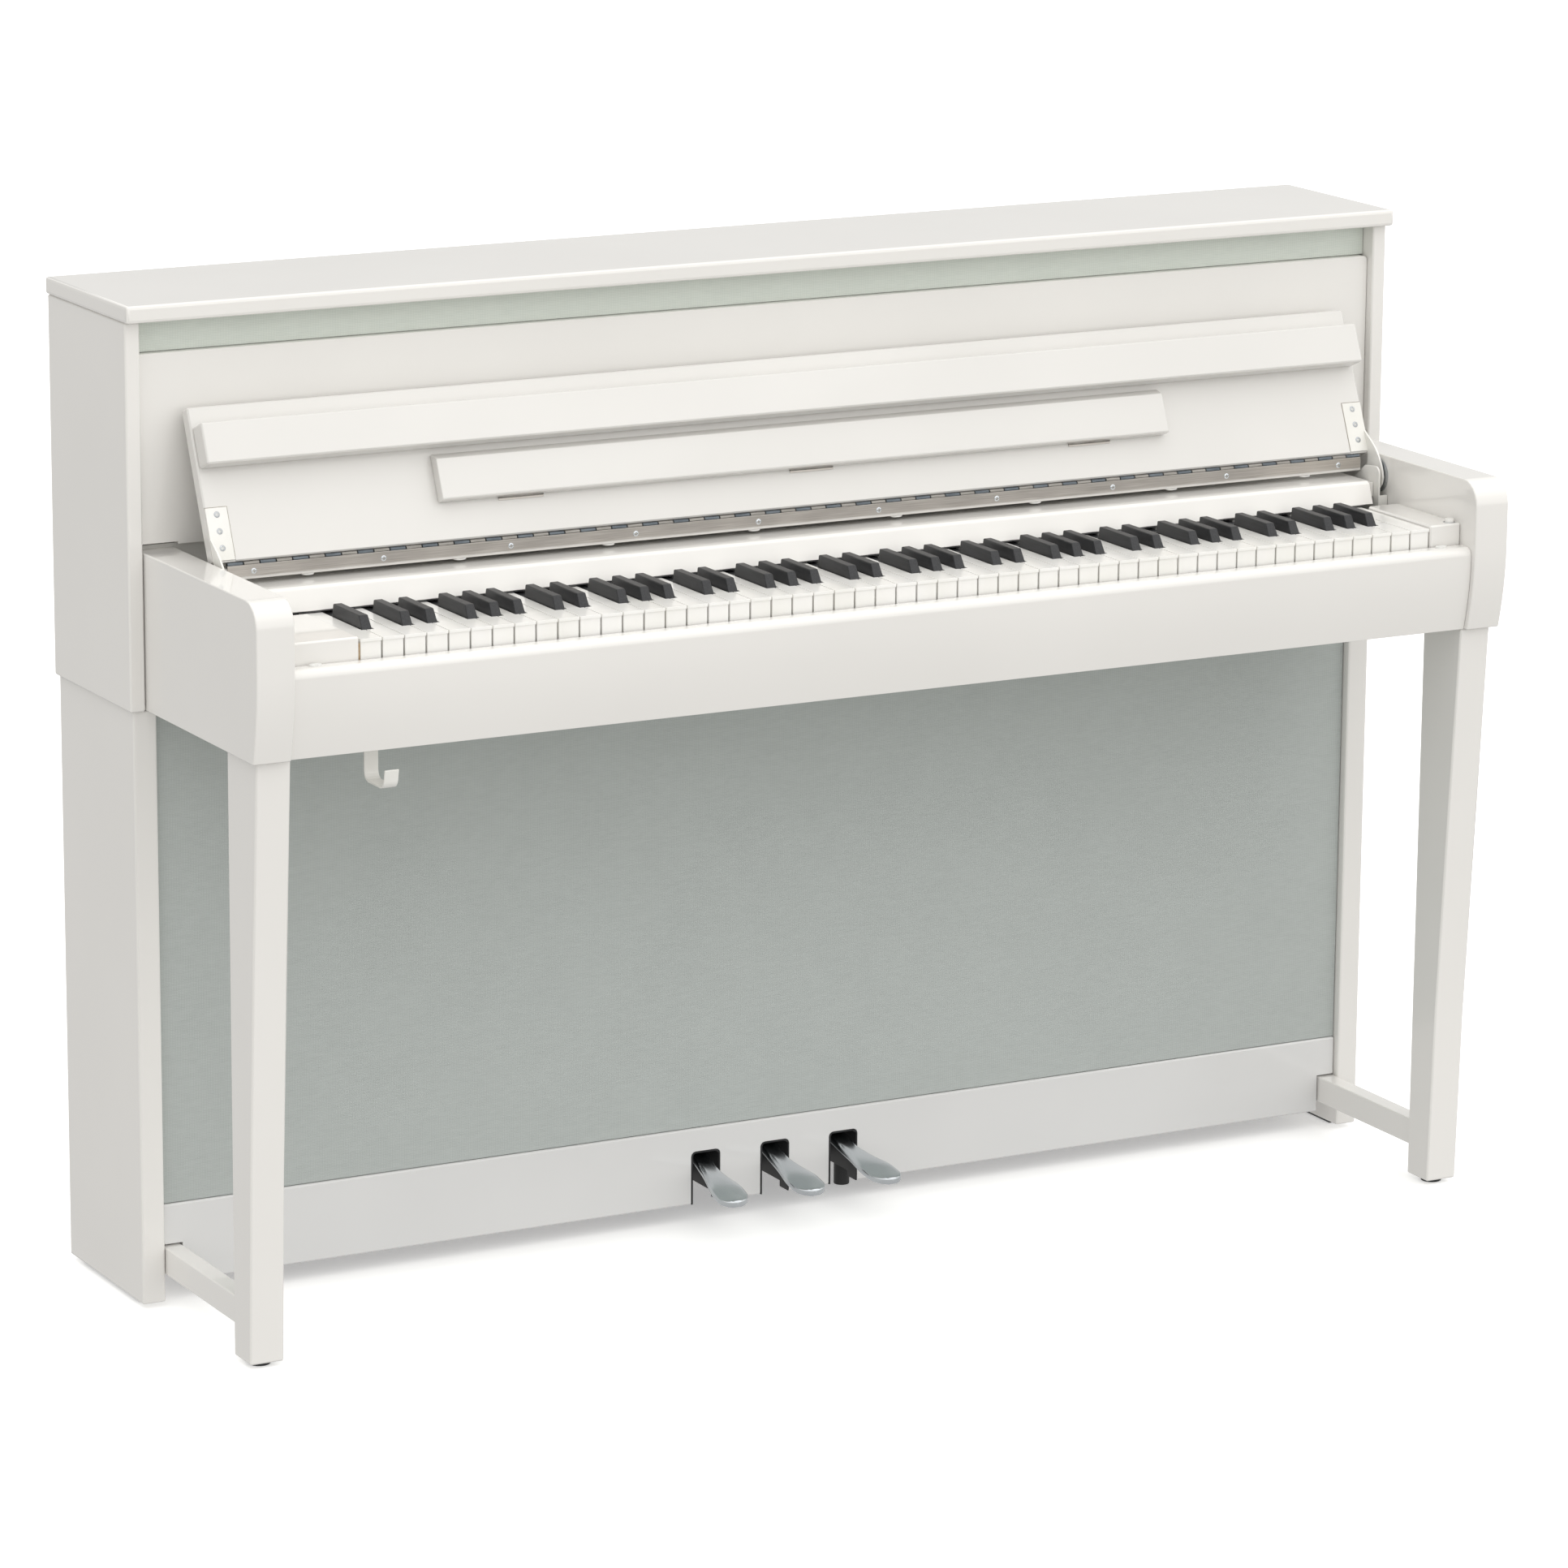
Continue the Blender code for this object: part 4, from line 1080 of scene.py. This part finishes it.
class BuildKeys(bpy.types.Operator):
    """Build the white and black keys and the rails behind them"""

    bl_idname = "piano.keys"
    bl_label = "Keys"

    def execute(self, context):
        build_keys(context.scene.piano)
        return {"FINISHED"}


class BuildFallboard(bpy.types.Operator):
    """Build the fallboard, its flap, the music rest and the rear slat"""

    bl_idname = "piano.fallboard"
    bl_label = "Fallboard"

    def execute(self, context):
        build_fallboard(context.scene.piano)
        return {"FINISHED"}


class BuildHinge(bpy.types.Operator):
    """Build the piano hinge with its knuckles and screws"""

    bl_idname = "piano.hinge"
    bl_label = "Piano hinge"

    def execute(self, context):
        build_piano_hinge(context.scene.piano)
        return {"FINISHED"}


class BuildBrackets(bpy.types.Operator):
    """Build the screws of the end brackets and the dampers that carry the fallboard"""

    bl_idname = "piano.brackets"
    bl_label = "Brackets and dampers"

    def execute(self, context):
        build_brackets(context.scene.piano)
        return {"FINISHED"}


class BuildPedals(bpy.types.Operator):
    """Build the three pedals, the linings of their notches and their box"""

    bl_idname = "piano.pedals"
    bl_label = "Pedals"

    def execute(self, context):
        build_pedals(context.scene.piano)
        return {"FINISHED"}


class BuildFittings(bpy.types.Operator):
    """Build the headphone hook, the power button and the rubber bumpers"""

    bl_idname = "piano.fittings"
    bl_label = "Small fittings"

    def execute(self, context):
        build_fittings(context.scene.piano)
        return {"FINISHED"}


class BuildBack(bpy.types.Operator):
    """Build the back panels with their screws, and the rims of the sockets"""

    bl_idname = "piano.back"
    bl_label = "Back"

    def execute(self, context):
        build_back(context.scene.piano)
        return {"FINISHED"}


class BuildStage(bpy.types.Operator):
    """Build the floor, the light and the camera"""

    bl_idname = "piano.stage"
    bl_label = "Stage"

    def execute(self, context):
        build_stage(context.scene.piano)
        return {"FINISHED"}


BUILDERS = (BuildCabinet, BuildCloth, BuildKeys, BuildFallboard, BuildHinge, BuildBrackets, BuildPedals,
            BuildFittings, BuildBack, BuildStage)


class PianoPanel(bpy.types.Panel):
    """Settings and build steps in the 3D view's sidebar"""

    bl_idname = "VIEW3D_PT_piano"
    bl_label = "Digital piano"
    bl_space_type = "VIEW_3D"
    bl_region_type = "UI"
    bl_category = "Piano"

    def draw(self, context):
        for name in PianoSettings.__annotations__:
            self.layout.prop(context.scene.piano, name)
        for builder in BUILDERS:
            self.layout.operator(builder.bl_idname)


CLASSES = (PianoSettings, *BUILDERS, PianoPanel)


def register():
    for cls in CLASSES:
        bpy.utils.register_class(cls)
    bpy.types.Scene.piano = bpy.props.PointerProperty(type=PianoSettings)


def unregister():
    del bpy.types.Scene.piano
    for cls in reversed(CLASSES):
        bpy.utils.unregister_class(cls)


def main():
    register()
    make_finishes(bpy.context.scene.piano)
    bpy.ops.piano.cabinet()
    bpy.ops.piano.cloth()
    bpy.ops.piano.keys()
    bpy.ops.piano.fallboard()
    bpy.ops.piano.hinge()
    bpy.ops.piano.brackets()
    bpy.ops.piano.pedals()
    bpy.ops.piano.fittings()
    bpy.ops.piano.back()
    bpy.ops.piano.stage()


if __name__ == "__main__":
    main()
